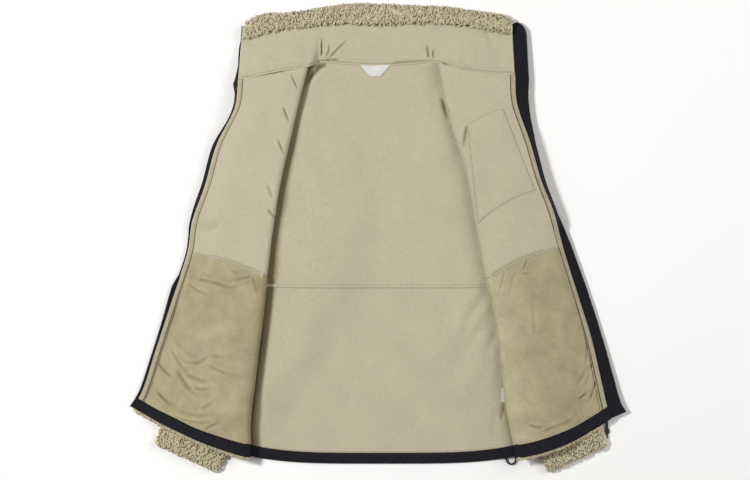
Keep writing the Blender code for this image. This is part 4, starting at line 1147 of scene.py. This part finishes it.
class JACKET_OT_camera(JacketStep, bpy.types.Operator):
    """Camera straight above the jacket, in the photograph's frame"""
    bl_idname = "jacket.camera"
    bl_label = "Camera"

    def execute(self, context):
        settings = context.scene.jacket_sizes
        data = bpy.data.cameras.new("photo camera")
        data.sensor_width = 36
        data.lens = data.sensor_width * (settings.camera_height - 0.02) / settings.frame_width
        data.clip_end = 50
        camera = bpy.data.objects.new("photo camera", data)
        camera.location = (*settings.frame_middle, settings.camera_height)
        context.scene.collection.objects.link(camera)
        context.scene.camera = camera
        return {"FINISHED"}


class JACKET_OT_hem_cord(JacketStep, bpy.types.Operator):
    """Loop of draw cord below the hem"""
    bl_idname = "jacket.hem_cord"
    bl_label = "Hem cord"

    def execute(self, context):
        steps = 97
        at = np.linspace(0, len(CORD_ROUTE) - 1, steps)
        path = with_height(through(CORD_ROUTE, at), np.full(steps, CORD_HEIGHT))
        twist = way_along(path)[:, None] * 2.2
        sides = 16
        turn = 4 * np.arange(sides) * 2 * math.pi / sides
        plaits = np.cos(turn + twist) * np.cos(turn - twist)
        cord = tube("hem_draw_cord", path, CORD_RADIUS * (0.95 + 0.06 * plaits), sides,
                    [materials()["cord"]])
        dress(cord, ["hem_cord"])
        return {"FINISHED"}


class JACKET_OT_back(JacketStep, bpy.types.Operator):
    """Upper and lower back, smooth fleece up and sherpa down"""
    bl_idname = "jacket.back"
    bl_label = "Back"

    def execute(self, context):
        made, size = materials(), sizes()
        spacing = size["grid"] * BACK_COARSE
        for name, node, ends, length in BACKS:
            rows = row_steps(ends, int(length / spacing))
            grid = back_surface(rows, int(BACK_WIDTH / spacing))
            heaps = clumps(grid[..., 0], grid[..., 1], size["clump"] * HIDDEN_CLUMP, SEEDS["back"])
            # The face takes painted shade in its creases and painted shadow beside the folds; the
            # sherpa below takes painted shade between its clumps.
            piece = shell(name, grid, CLOTH, [made["fleece"], made["sherpa"]], (1.2, 1.2, 3, 3),
                          crease_relief("back", grid) + 0.6 * rumple(grid), -0.9 * (1 - heaps),
                          heaps, crease_shade("back", grid) * lee_shade(grid))
            dress(piece, [node])
            declare(grid)
        return {"FINISHED"}


class JACKET_OT_fronts(JacketStep, bpy.types.Operator):
    """Both fronts, upper and lower: top layer, visible fold and under layer in one cloth"""
    bl_idname = "jacket.fronts"
    bl_label = "Fronts"

    def execute(self, context):
        made, size = materials(), sizes()
        for side in SIDES:
            for part, ends, length, coarse, first_rim in FRONTS:
                spacing = size["grid"] * coarse
                grid, shown = front_cloth(side, row_steps(ends, int(length / spacing)), spacing)
                rims = (first_rim, 1.2, *((3, 1.2) if side == "right" else (1.2, 3)))
                heaps = clumps(grid[..., 0] + 3 * grid[..., 2], grid[..., 1],
                               size["clump"] * HIDDEN_CLUMP, SEEDS["fronts"])
                creases = crease_relief(side, grid) * shown
                if part == "lower":
                    creases -= (SUNK + SUNK_SHARE * np.abs(creases)) * shown
                # The top layer's face takes painted shade in its narrow creases; the sherpa takes
                # painted shade between its clumps.
                piece = shell(f"{part}_front_{side}", grid, CLOTH,
                              [made["fleece"], made["sherpa"]], rims,
                              creases + rumple(grid) * shown,
                              -0.8 * (1 - heaps) * np.where(shown > 0, 1, 0.4), heaps,
                              np.where(shown > 0, crease_shade(side, grid), 1))
                dress(piece, [f"front_{side}_{part}"])
                declare(grid)
        return {"FINISHED"}


class JACKET_OT_pocket_bags(JacketStep, bpy.types.Operator):
    """Satin pocket bags over the lower fronts, with their creases"""
    bl_idname = "jacket.pocket_bags"
    bl_label = "Pocket bags"

    def execute(self, context):
        made = materials()
        for side in SIDES:
            rows = row_steps(LOWER_ROWS, int(270 / SATIN_SPACING))
            grid, shown = front_surface(side, rows, SATIN_SPACING)
            _, edge, _, _ = front_rows(side, rows)
            inset = np.linalg.norm(grid[..., :2] - edge[:, None], axis=-1)
            first = int(np.argmax((inset > TAPE_ROOM).all(axis=0)))
            last = int(np.argmax(shown <= 0.09))
            grid, shown = grid[:, first:last + 1], shown[first:last + 1]
            grid, shown = oriented(side, grid), oriented(side, shown[None])
            lifted = grid + normals(grid) * (CLOTH / 2 + 2 * SEAM_GAP + SATIN / 2)
            relief = (crease_relief(side, grid) + rumple(grid)) * shown
            fine = 0.18 * waves(grid[..., 0], grid[..., 1], 11, SEEDS["satin"]) * shown
            # Painted shade in the narrow creases, painted shade beside the right satin's fold and
            # painted light beside the left's.
            reach, change = SATIN_PAINTED_LIGHT_AND_SHADE[side]
            away = np.clip(from_fold(side, grid[..., :2]), 0, None)
            tone = crease_shade(side, grid, 0.2) * (1 + change * np.exp(-(away / reach) ** 2))
            piece = shell("satin_" + side, lifted, SATIN, [made["satin"]], (1.2, 1.2, 0.8, 0.8),
                          relief + fine, -relief, 1.0, tone)
            dress(piece, ["pocket_bag_" + side])
            declare(lifted)
        return {"FINISHED"}


def chest_pocket_grid(spacing):
    """Chest pocket bag between its four bowed edges; rows run from its top to its bottom."""
    inner_top, outer_top, outer_low, inner_low = np.array(POCKET_CORNERS, float)
    width, length = POCKET_SIZE
    across = rim_steps(0, 1, int(width / spacing), 0.035)[None, :, None]
    down = rim_steps(0, 1, int(length / spacing), 0.02)[:, None, None]
    points = ((inner_top * (1 - across) + outer_top * across) * (1 - down)
              + (inner_low * (1 - across) + outer_low * across) * down)
    top_bow, low_bow = POCKET_BOWS
    points[..., 1:] += arch(across) * (top_bow * (1 - down) + low_bow * down)
    return points


class JACKET_OT_chest_pocket(JacketStep, bpy.types.Operator):
    """Chest pocket bag of smooth fleece, sewn on the left upper front"""
    bl_idname = "jacket.chest_pocket"
    bl_label = "Chest pocket"

    def execute(self, context):
        points = chest_pocket_grid(POCKET_SPACING)
        relief = crease_relief("left", points) + rumple(points)
        down, across = ways(points)
        inside = np.minimum(np.minimum(down, down[-1] - down),
                            np.minimum(across, across[:, -1:] - across))
        lift = CLOTH / 2 + 0.15 + (POCKET / 2 + SEAM_GAP) * smooth(inside / POCKET_EASE)
        grid = with_height(points, top_height("left", points) + lift + relief)
        piece = shell("chest_pocket", grid, POCKET, [materials()["fleece"]],
                      (3.0, 3.0, 3.0, 3.0), 0.1)
        dress(piece, ["chest_pocket_bag"])
        declare(grid)
        return {"FINISHED"}


class JACKET_OT_hem_bands(JacketStep, bpy.types.Operator):
    """Black bands round the hem of the back and of both fronts"""
    bl_idname = "jacket.hem_bands"
    bl_label = "Hem bands"

    def execute(self, context):
        band = materials()["band"]
        rows = rim_steps(*BAND_ROWS, 14, 0.14)
        grid = back_surface(rows, BAND_STEPS)
        piece = shell("back_hem_band", grid, BAND, [band], BAND_RIMS,
                      0.25 * waves(grid[..., 0], grid[..., 1], 21, SEEDS["back band"]))
        dress(piece, ["hem_band_back"])
        declare(grid)
        for side in SIDES:
            grid, shown = front_cloth(side, rows, BAND_SPACING)
            uneven = 0.35 * waves(grid[..., 0], grid[..., 1], 17, SEEDS["front bands"])
            piece = shell("front_hem_band_" + side, grid, BAND, [band], BAND_RIMS, uneven * shown)
            dress(piece, ["hem_band_" + side])
            declare(grid)
        return {"FINISHED"}


def flat_ring(sides):
    """Points round a flat ring with round sides: where each lies along the flats (-1 to 1) and
    round its side (cosine and sine)."""
    flats, rounds = int(sides * 0.42), int(sides * 0.08)
    turn = np.linspace(-90, 90, rounds + 2)[1:-1]
    run = np.linspace(-1, 1, flats)
    on_flat = np.concatenate([run, np.ones(rounds), -run, -np.ones(rounds)])
    angle = np.radians(np.concatenate([np.full(flats, -90.0), turn, np.full(flats, 90.0),
                                       180 + turn]))
    return on_flat, np.cos(angle), np.sin(angle)


def ring_normals(rings):
    """Unit normals of a grid whose columns close into rings, out of the body."""
    around = np.roll(rings, -1, axis=1) - np.roll(rings, 1, axis=1)
    up = unit(np.cross(np.gradient(rings, axis=0), around))
    middle = rings.mean(axis=1, keepdims=True)
    half = len(rings) // 2
    return up * np.sign((up[:half] * (rings - middle)[:half]).sum())


def sleeve_rings():
    """Rings of the right sleeve: a round closed start at the armhole, the outside to the cuff,
    the cuff's round lip, and the slit inside it; each ring's share of the pile, and its way."""
    whole = TURN_LENGTH + SLEEVE_LENGTH
    level = SLEEVE_HEIGHT / 2
    wall = (SLEEVE_HEIGHT - SLEEVE_SLIT) / 2
    lip = np.radians(np.linspace(0, 180, LIP_RINGS + 1))[1:]
    run = np.concatenate([np.linspace(0, whole - 80, 40),
                          np.linspace(whole - 78, whole - wall / 2, 46)])
    start = ((-level, 0.7 * level, 0.35 * level, 0.4),
             (-0.75 * level, 0.35 * level, 0.7 * level, 0.8),
             (-0.4 * level, 0.1 * level, 0.93 * level, 1))
    parts = ((run, 0, level, 1),
             (whole - wall / 2 + wall / 2 * np.sin(lip), wall / 2 * (1 - np.cos(lip)),
              (SLEEVE_HEIGHT + SLEEVE_SLIT) / 4 + wall / 2 * np.cos(lip), 1),
             (np.linspace(whole - wall, 60, SLIT_RINGS), wall, SLEEVE_SLIT / 2, 0))
    table = [np.stack(np.broadcast_arrays(*part), axis=1) for part in parts]
    way, inset, radius, share = np.vstack([start, *table]).T
    middle, across, ahead, half = sleeve_path(np.maximum(way, 0))
    middle = middle + ahead * np.minimum(way, 0)[:, None]
    on_flat, cosine, sine = flat_ring(SLEEVE_SIDES)
    sideways = (half - inset - radius)[:, None] * on_flat + radius[:, None] * cosine
    points = middle[:, None] + across[:, None] * sideways[..., None]
    return with_height(points, level + radius[:, None] * sine), share, way


def on_side(side, rings):
    """The right sleeve's rings as they are, or mirrored to the left."""
    return rings if side == "right" else rings * (-1, 1, 1) + (MIRROR_X, 0, 0)


class JACKET_OT_sleeves(JacketStep, bpy.types.Operator):
    """Sherpa sleeves, flat under the body, open at the cuffs"""
    bl_idname = "jacket.sleeves"
    bl_label = "Sleeves"

    def execute(self, context):
        made, size = materials(), sizes()
        rings, share, way = sleeve_rings()
        girth = ways(rings)[1]
        heaps = clumps(girth, np.broadcast_to(way[:, None], girth.shape), size["clump"],
                       SEEDS["sleeves"])
        strength = size["pile"] * np.where(way > way.max() - CUFF_PILE, 1.1, 0.4)
        relief = (heaps - 0.85) * strength[:, None] * share[:, None]
        body = rings + ring_normals(rings) * relief[..., None]
        body[..., 2] = np.maximum(body[..., 2], FLOOR_CLEAR)
        for side in SIDES:
            # The clumps' heights go to the sherpa's colour as painted shade between them.
            piece = loft("sherpa_sleeve_" + side, on_side(side, body), [made["sherpa"]], heaps)
            dress(piece, ["sleeve_" + side])
            outer = rings[:-(LIP_RINGS + SLIT_RINGS)]
            declare(outer, around=True)
        return {"FINISHED"}


def collar_level(height, part):
    """Height of the collar's lower cloth between its seam and the roll: a sagging parabola."""
    half = CLOTH / 2
    middle = half + (height - half) * COLLAR_SAG
    return (height * (1 - part) * (1 - 2 * part) + middle * 4 * part * (1 - part)
            + half * part * (2 * part - 1))


def collar_section(height, smooth_way, top_way):
    """Section of the outer collar as a J: under the smooth cloth, round the roll and back to
    the smooth cloth's edge. One row to each station, as ways up the collar and heights."""
    half = CLOTH / 2
    height, smooth_way, top_way = height[:, None], smooth_way[:, None], top_way[:, None]
    roll = np.minimum(COLLAR_ROLL, (top_way - smooth_way) * ROLL_SHARE)
    radius = roll / 2
    end = top_way - radius
    part = np.linspace(0, 1, 16)
    below = (smooth_way * part, collar_level(height, part) - half)
    run = np.linspace(0, 1, 6)[1:-1]
    floor = (smooth_way + (end - smooth_way) * run, 0 * end + 0 * run)
    turn = np.radians(np.linspace(-90, 90, 24))
    nose = (end + radius * np.cos(turn), radius + radius * np.sin(turn))
    (past, below_top), (lip_past, lip_below) = ROLL_LIP
    run = np.linspace(0, 1, 16)[1:]
    top = (end + (smooth_way + past - end) * run, roll - below_top * run ** 2)
    run = np.linspace(0, 1, 6)[1:]
    lip = (smooth_way + past + (lip_past - past) * np.sin(run * math.pi / 2),
           roll - below_top - (lip_below - below_top) * (1 - np.cos(run * math.pi / 2)))
    wall = (smooth_way + lip_past + 0 * run,
            roll - lip_below + (CLOTH - roll + lip_below) * run)
    part = np.linspace(1, 0, 16)[1:]
    above = (smooth_way * part, collar_level(height, part) + half)
    parts = [(np.broadcast_to(a, (len(height), np.shape(b)[1])), b)
             for a, b in (below, floor, nose, top, lip, wall, above)]
    shows = np.concatenate([np.full(b.shape[1], value) for (a, b), value
                            in zip(parts, (0.3, 0.6, 1, 1, 1, 0.4, 0))])
    return np.hstack([a for a, b in parts]), np.hstack([b for a, b in parts]), shows


def up_collar(way, level):
    """Points that far up the collar from its seam, at that height, one row to each station."""
    seam, _, top, _ = collar_lines(COLLAR_STEPS)
    return with_height(seam[:, None] + unit(top - seam)[:, None] * way[..., None], level)


def collar_rings():
    """Rings of the outer collar, how much of the pile each column shows, and the smooth cloth's
    way up the collar with the seam's height."""
    seam, smooth_edge, top, height = collar_lines(COLLAR_STEPS)
    smooth_way = np.linalg.norm(smooth_edge - seam, axis=-1)
    way, level, shows = collar_section(height, smooth_way, np.linalg.norm(top - seam, axis=-1))
    return up_collar(way, level), shows, smooth_way[:, None], height[:, None]


class JACKET_OT_collar(JacketStep, bpy.types.Operator):
    """Outer collar of sherpa, rolled over its top edge, and the smooth cloth inside it"""
    bl_idname = "jacket.collar"
    bl_label = "Collar"

    def execute(self, context):
        made, size = materials(), sizes()
        rings, shows, smooth_way, height = collar_rings()
        down, girth = ways(rings)
        station = np.broadcast_to(down[:, :1], girth.shape)
        heaps = clumps(station * 1.25, girth * 0.72, size["clump"], SEEDS["collar"])
        relief = (heaps - 0.72) * size["pile"] * shows
        body = rings + ring_normals(rings) * relief[..., None]
        body[..., 2] = np.maximum(body[..., 2], FLOOR_CLEAR)
        # The clumps' heights go to the sherpa's colour as painted shade between them.
        outer = loft("sherpa_collar", body, [made["sherpa"]], heaps)
        dress(outer, ["collar_outer"])
        declare(rings, around=True, faces=2)

        part = np.linspace(0, 1, 34)
        level = collar_level(height, part) + CLOTH / 2 + COLLAR_CLEAR + INNER_COLLAR / 2
        grid = up_collar(part * (smooth_way - 0.5), level).transpose(1, 0, 2)[::-1]
        # The smooth collar takes painted shade in its narrow creases.
        inner = shell("smooth_collar", grid, INNER_COLLAR, [made["fleece"]], (1.8, 1.2, 1.5, 1.5),
                      crease_relief("collar", grid) + 0.6 * rumple(grid), 0.0, 1.0,
                      crease_shade("collar", grid))
        dress(inner, ["collar_inner"])
        declare(grid)
        return {"FINISHED"}


class JACKET_OT_edge_tapes(JacketStep, bpy.types.Operator):
    """Narrow beige tape inside each front's edge, between two dark piping lines"""
    bl_idname = "jacket.edge_tapes"
    bl_label = "Edge tapes"

    def execute(self, context):
        made = materials()
        rows = np.linspace(0.02, LOWER_ROWS[1], TAPE_STEPS)
        for hand, side in enumerate(SIDES):
            grid = np.stack([front_point(side, rows, inset, 2 * SEAM_GAP + TAPE / 2)
                             for inset in np.linspace(TAPE_INSET, TAPE_REACH, 9)], axis=1)
            piece = shell("beige_tape_" + side, oriented(side, grid), TAPE, [made["edge tape"]],
                          (0.8, 0.8, 1.6, 1.6))
            dress(piece, ["edge_tape_" + side])
            declare(grid)
            for name, insets, lift, cloth, start in PIPINGS:
                path = front_point(side, rows[rows >= start], insets[hand], lift)
                dress(tube(f"piping_{name}_{side}", path, 0.6, 8, [made[cloth]]))
        return {"FINISHED"}


class JACKET_OT_zip_tapes(JacketStep, bpy.types.Operator):
    """Black zip tapes with their coil of teeth"""
    bl_idname = "jacket.zip_tapes"
    bl_label = "Zip tapes"

    def execute(self, context):
        made, size = materials(), sizes()
        for side in SIDES:
            grid = zip_surface(side, np.linspace(0, 1, 15))
            cloth = grid[:, ::-1] if side == "right" else grid
            piece = shell("black_zip_tape_" + side, cloth, ZIP_TAPE, [made["zip tape"]],
                          SMALL_RIMS)
            dress(piece, ["zip_tape_" + side])
            declare(grid)
            places = along(grid[:, -1], size["tooth"], 0.1)[:, 0]
            ahead = unit(np.gradient(places, axis=0))
            out = beside(ahead) * SIDES[side]
            reach, lift, radius = np.array(TOOTH).T
            teeth = places[:, None] + out[:, None] * reach[:, None]
            teeth[..., 2] += lift
            coil = strands("zip_teeth_" + side, teeth, radius, ahead, [made["teeth"]])
            dress(coil)
        return {"FINISHED"}


class JACKET_OT_slider_pull(JacketStep, bpy.types.Operator):
    """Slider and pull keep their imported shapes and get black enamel"""
    bl_idname = "jacket.slider_pull"
    bl_label = "Slider and pull"

    def execute(self, context):
        enamel = materials()["enamel"]
        for node in ("zip_slider", "zip_pull"):
            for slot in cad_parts[node].material_slots:
                slot.material = enamel
        return {"FINISHED"}


def add_label(name, node, points, level):
    grid = with_height(points, level + LABEL / 2)
    piece = shell(name, grid, LABEL, [materials()["label"]], LABEL_RIMS)
    dress(piece, [node])
    declare(grid)


class JACKET_OT_labels(JacketStep, bpy.types.Operator):
    """Bare label at the back neck and a thin tab at the left front's fold"""
    bl_idname = "jacket.labels"
    bl_label = "Labels"

    def execute(self, context):
        corners = np.array(NECK_LABEL, float)
        y = rim_steps(corners[0, 1], corners[3, 1], 16, -0.8)
        up, left, right = np.array(LABEL_SIDES).T
        x0, x1 = np.interp(y, up, left), np.interp(y, up, right)
        share = rim_steps(0, 1, 30, 0.02)
        points = np.stack([x0[:, None] + (x1 - x0)[:, None] * share,
                           y[:, None] + 0 * share], axis=-1)
        above = CLOTH / 2 + 2 * SEAM_GAP
        add_label("bare_neck_label", "neck_label", points,
                  back_height(corners).max() + above + 0.3 * np.sin(points[..., 0] / 9))
        (x0, y0), (x1, y1) = SIDE_LABEL
        x, y = np.meshgrid(rim_steps(x0, x1, 10, 0.6), rim_steps(y1, y0, 22, -0.6))
        points = np.stack([x, y], axis=-1)
        add_label("side_tab", "side_label", points,
                  back_height(points) + above + 0.3 * np.sin(points[..., 1] / 5))
        return {"FINISHED"}


def ribbon(name, path, width, thickness, material):
    """Thin strip laid along a path, level across."""
    side = beside(unit(np.gradient(path, axis=0)))
    grid = path[:, None] + side[:, None] * np.linspace(-width / 2, width / 2, 5)[:, None]
    return shell(name, grid, thickness, [material], (0.6, 0.6, width / 2.2, width / 2.2))


def back_line(row, lift, rumpled=0.0):
    """Line across the back along a row, that far above its face, short of its edges."""
    line = back_surface(row + np.array([-0.01, 0, 0.01]), BACK_STEPS)[1][12:-12]
    line[:, 2] += CLOTH / 2 + lift + crease_relief("back", line) + rumpled * rumple(line)
    return line


def front_line(side, seam, row, room, lift):
    """Line across a front along a row, from the tape to that room before the fold; its length
    is the seam's beside it."""
    fold, edge, _, _ = front_rows(side, np.array([float(seam)]))
    inset = np.linspace(TAPE_ROOM, np.linalg.norm(edge - fold, axis=-1)[0] - room, SEAM_STEPS)
    return front_point(side, row, inset, lift)


class JACKET_OT_seam_covers(JacketStep, bpy.types.Operator):
    """Welt along the collar's seam, strips over the crosswise seams, turned ends of the bands"""
    bl_idname = "jacket.seam_covers"
    bl_label = "Seam covers"

    def execute(self, context):
        made = materials()
        seam, smooth_edge, _, height = collar_lines(SEAM_STEPS)
        path = with_height(seam - unit(smooth_edge - seam) * WELT_BELOW,
                           height + CLOTH / 2 - WELT_SUNK)
        dress(tube("collar_welt", path, WELT_RADIUS, 12, [made["fleece"]]))
        dress(ribbon("waist_strip_back", back_line(WAIST_ROW, 0.1, 0.6), 4.2, 1.2,
                     made["fleece"]))
        for side in SIDES:
            for name, row, lift in RIDGES:
                path = front_line(side, WAIST_ROW, row, RIDGE_ROOM, lift)
                dress(ribbon(f"{name}_ridge_{side}", path, 4.4, 1.8, made["fleece"]))
            path = front_point(side, np.linspace(*BAND_ROWS, 30), -0.6, -BAND / 2)
            dress(tube("band_turn_" + side, path, TURN_RADIUS, 12, [made["band"]]))
        return {"FINISHED"}


def pocket_outline():
    """Line round the chest pocket bag, just inside its edges."""
    grid = chest_pocket_grid(3.0)
    loop = np.vstack([grid[2:-2, 2][::-1], grid[2, 2:-2], grid[2:-2, -3], grid[-3, 2:-2][::-1]])
    height = (top_height("left", loop) + CLOTH / 2 + POCKET
              + crease_relief("left", loop) + rumple(loop))
    return with_height(loop, height)


def seam_paths():
    """Lines of the stitching: name, path, pitch share, swing and thread radius."""
    for name, row, lift in BACK_STITCHES:
        yield name, back_line(row, lift), 1.0, 0.0, 0.32
    for side in SIDES:
        for k, (seam, row, share, swing, radius, lift) in enumerate(FRONT_STITCHES):
            path = front_line(side, seam, row, STITCH_ROOM, lift)
            yield f"front_{side}_{k}", path, share, swing, radius
        rows = np.linspace(0.1, LOWER_ROWS[1] - 0.1, 320)
        path = front_point(side, rows, TAPE_STITCH, 2 * SEAM_GAP + TAPE + 0.1)
        yield "tape_" + side, path, 1.0, 0.0, 0.28
    yield "pocket", pocket_outline(), 1.0, 0.0, 0.24
    seam, smooth_edge, _, height = collar_lines(SEAM_STEPS)
    for name, above in COLLAR_STITCHES:
        level = collar_level(height, above / COLLAR_HEIGHT) + CLOTH / 2
        path = with_height(seam + unit(smooth_edge - seam) * above,
                           level + COLLAR_CLEAR + INNER_COLLAR + 0.1)
        path[:, 2] += crease_relief("collar", path)
        yield "collar_" + name, path, 1.0, 0.0, 0.32


class JACKET_OT_stitching(JacketStep, bpy.types.Operator):
    """Rows of stitches along the seams, as small rounded threads"""
    bl_idname = "jacket.stitching"
    bl_label = "Stitching"

    def execute(self, context):
        thread, size = materials()["thread"], sizes()
        for name, path, share, swing, radius in seam_paths():
            paths, side = stitch_paths(path, size["pitch"] * share, size["stitch"] * share, swing)
            taper = np.array([0.6, 1, 1, 0.6]) * radius
            dress(strands("stitches_" + name, paths, taper, side, [thread]))
        return {"FINISHED"}


def curl_paths(roots, up, lean, length, seed):
    """Each curl leaves its root along the normal and bends over sideways, as a quarter turn."""
    draw = np.random.default_rng(seed)
    count = len(roots)
    flat = unit(np.cross(up, draw.normal(size=(count, 3)) * (1, 0.45, 1)))
    size = length * draw.uniform(0.65, 1.2, count)
    turn = np.linspace(0, math.radians(128), 4)
    rise = size[:, None] * 0.42 * np.sin(turn) - 0.8
    over = size[:, None] * 0.42 * (1 - np.cos(turn)) * lean
    paths = roots[:, None] + up[:, None] * rise[..., None] + flat[:, None] * over[..., None]
    paths[..., 2] = np.maximum(paths[..., 2], CURL_FLOOR)
    return paths, np.cross(up, flat), draw.uniform(1.2, 1.9, count)


def curls_on(name, rings, mask, count, length, seed, material):
    """Loose curls at chosen points of a grid of rings."""
    draw = np.random.default_rng(seed)
    up = ring_normals(rings)
    chosen = draw.choice(np.flatnonzero(mask.ravel()), count)
    roots, up = rings.reshape(-1, 3)[chosen], up.reshape(-1, 3)[chosen]
    roots = roots + draw.normal(0, 0.5, roots.shape)
    paths, across, thick = curl_paths(roots, up, 1.15, length, seed + 1)
    radius = thick[:, None] * np.array([0.9, 1.0, 0.85, 0.4])
    # Painted shade: each curl is darker towards its root, among the other curls.
    pile = np.array([0.6, 0.85, 1.0, 0.95])
    return strands(name, paths, radius, across, [material], pile)


def hem_roots(side, count):
    """Points on the sherpa under a front's band, with the way out past the hem."""
    draw = np.random.default_rng(SEEDS["hem roots"])
    fold, edge, _, bow = (each[0] for each in front_rows(side, np.array([HEM_ROW - 0.02])))
    part = draw.uniform(0.02, 0.99, count)[:, None]
    points = fold * (1 - part) + edge * part
    points[:, 1] += bow * arch(part)[:, 0]
    height = top_height(side, points) - BAND / 2 + draw.uniform(-0.6, 0.9, count)
    out = unit(np.array([-(edge - fold)[1], (edge - fold)[0]]) * SIDES[side])
    up = np.tile([out[0], out[1], -0.1], (count, 1))
    return with_height(points, height), unit(up + draw.normal(0, 0.2, up.shape))


def clear_of_pull(points):
    """Whether points are farther from the zip pull's line than its room, from above."""
    start, end = np.array(PULL_LINE)
    line = end - start
    part = np.clip((points[..., :2] - start) @ line / (line @ line), 0, 1)
    nearest = start + part[..., None] * line
    return np.linalg.norm(points[..., :2] - nearest, axis=-1) > PULL_ROOM


class JACKET_OT_curls(JacketStep, bpy.types.Operator):
    """Loose curls of the sherpa along the collar's roll, at the cuffs and under the hem"""
    bl_idname = "jacket.curls"
    bl_label = "Curls"

    def execute(self, context):
        length, sherpa = sizes()["curl"], materials()["sherpa"]
        rings, shows, _, _ = collar_rings()
        mask = np.broadcast_to(shows >= 1, rings.shape[:2]).copy()
        mask[:CURLS_FREE] = mask[-CURLS_FREE:] = False
        dress(curls_on("collar_curls", rings, mask, context.scene.jacket_sizes.curl_count,
                       length, SEEDS["collar curls"], sherpa))
        rings, share, way = sleeve_rings()
        mask = ((way > way.max() - CUFF_CURLS) & (share > 0.9))[:, None]
        for side in SIDES:
            placed = on_side(side, rings)
            dress(curls_on("cuff_curls_" + side, placed, mask & clear_of_pull(placed), CUFF_COUNT,
                           length, SEEDS["cuff curls"], sherpa))
            roots, up = hem_roots(side, HEM_COUNT)
            free = clear_of_pull(roots)
            paths, across, thick = curl_paths(roots[free], up[free], 0.7, length * HEM_CURL,
                                              SEEDS["hem curls"])
            radius = 0.8 * thick[:, None] * np.array([0.9, 0.9, 0.7, 0.3])
            # Painted shade: each curl is darker towards its root.
            dress(strands("hem_curls_" + side, paths, radius, across, [sherpa],
                          np.array([0.6, 0.8, 1.0, 1.0])))
        return {"FINISHED"}


class JACKET_OT_stage(JacketStep, bpy.types.Operator):
    """Pale floor, a soft key light from the upper left, a wide light from the right, and fill"""
    bl_idname = "jacket.stage"
    bl_label = "Stage"

    def execute(self, context):
        scene = context.scene
        lights = scene.jacket_light
        corners = np.array([(-1, -1), (1, -1), (1, 1), (-1, 1)]) * FLOOR_HALF
        mesh = bpy.data.meshes.new("floor")
        mesh.from_pydata((with_height(corners, np.full(4, FLOOR_LEVEL)) * MM).tolist(), [],
                         [(0, 1, 2, 3)])
        mesh.materials.append(floor_material("floor", scene.jacket_colours.floor))
        floor = bpy.data.objects.new("floor", mesh)
        scene.collection.objects.link(floor)
        for name, power, size, turn, rise in (
                ("key light", lights.key_power, lights.key_size, lights.key_heading,
                 lights.key_elevation),
                ("far light", lights.far_power, *FAR_LIGHT)):
            data = bpy.data.lights.new(name, "AREA")
            data.shape, data.size, data.energy = "DISK", size, power
            lamp = bpy.data.objects.new(name, data)
            heading, height = math.radians(turn), math.radians(rise)
            direction = np.array([math.cos(heading) * math.cos(height),
                                  math.sin(heading) * math.cos(height), math.sin(height)])
            lamp.location = direction * lights.key_distance
            lamp.rotation_euler = (0, math.pi / 2 - height, heading)
            scene.collection.objects.link(lamp)
        world = bpy.data.worlds.new("even fill")
        world.use_nodes = True
        background = world.node_tree.nodes["Background"]
        background.inputs["Color"].default_value = (1, 0.95, 0.88, 1)
        background.inputs["Strength"].default_value = lights.fill
        scene.world = world
        scene.view_settings.view_transform = "Standard"
        return {"FINISHED"}


STEPS = (JACKET_OT_camera, JACKET_OT_hem_cord, JACKET_OT_back, JACKET_OT_fronts,
         JACKET_OT_pocket_bags, JACKET_OT_chest_pocket, JACKET_OT_hem_bands, JACKET_OT_sleeves,
         JACKET_OT_collar, JACKET_OT_edge_tapes, JACKET_OT_zip_tapes, JACKET_OT_slider_pull,
         JACKET_OT_labels, JACKET_OT_seam_covers, JACKET_OT_stitching, JACKET_OT_curls,
         JACKET_OT_stage)


class JACKET_PT_steps(bpy.types.Panel):
    """Settings and steps of the jacket"""
    bl_label = "Fleece jacket"
    bl_idname = "JACKET_PT_steps"
    bl_space_type = "VIEW_3D"
    bl_region_type = "UI"
    bl_category = "Jacket"

    def draw(self, context):
        for group in (context.scene.jacket_colours, context.scene.jacket_sizes,
                      context.scene.jacket_light):
            box = self.layout.box()
            for name in group.__annotations__:
                box.prop(group, name)
        for step in STEPS:
            self.layout.operator(step.bl_idname)


CLASSES = (JacketColours, JacketSizes, JacketLight, *STEPS, JACKET_PT_steps)


def register():
    for each in CLASSES:
        bpy.utils.register_class(each)
    bpy.types.Scene.jacket_colours = PointerProperty(type=JacketColours)
    bpy.types.Scene.jacket_sizes = PointerProperty(type=JacketSizes)
    bpy.types.Scene.jacket_light = PointerProperty(type=JacketLight)


def unregister():
    del bpy.types.Scene.jacket_light
    del bpy.types.Scene.jacket_sizes
    del bpy.types.Scene.jacket_colours
    for each in reversed(CLASSES):
        bpy.utils.unregister_class(each)


def main():
    register()
    for step in STEPS:
        group, name = step.bl_idname.split(".")
        getattr(getattr(bpy.ops, group), name)()


if __name__ == "__main__":
    main()
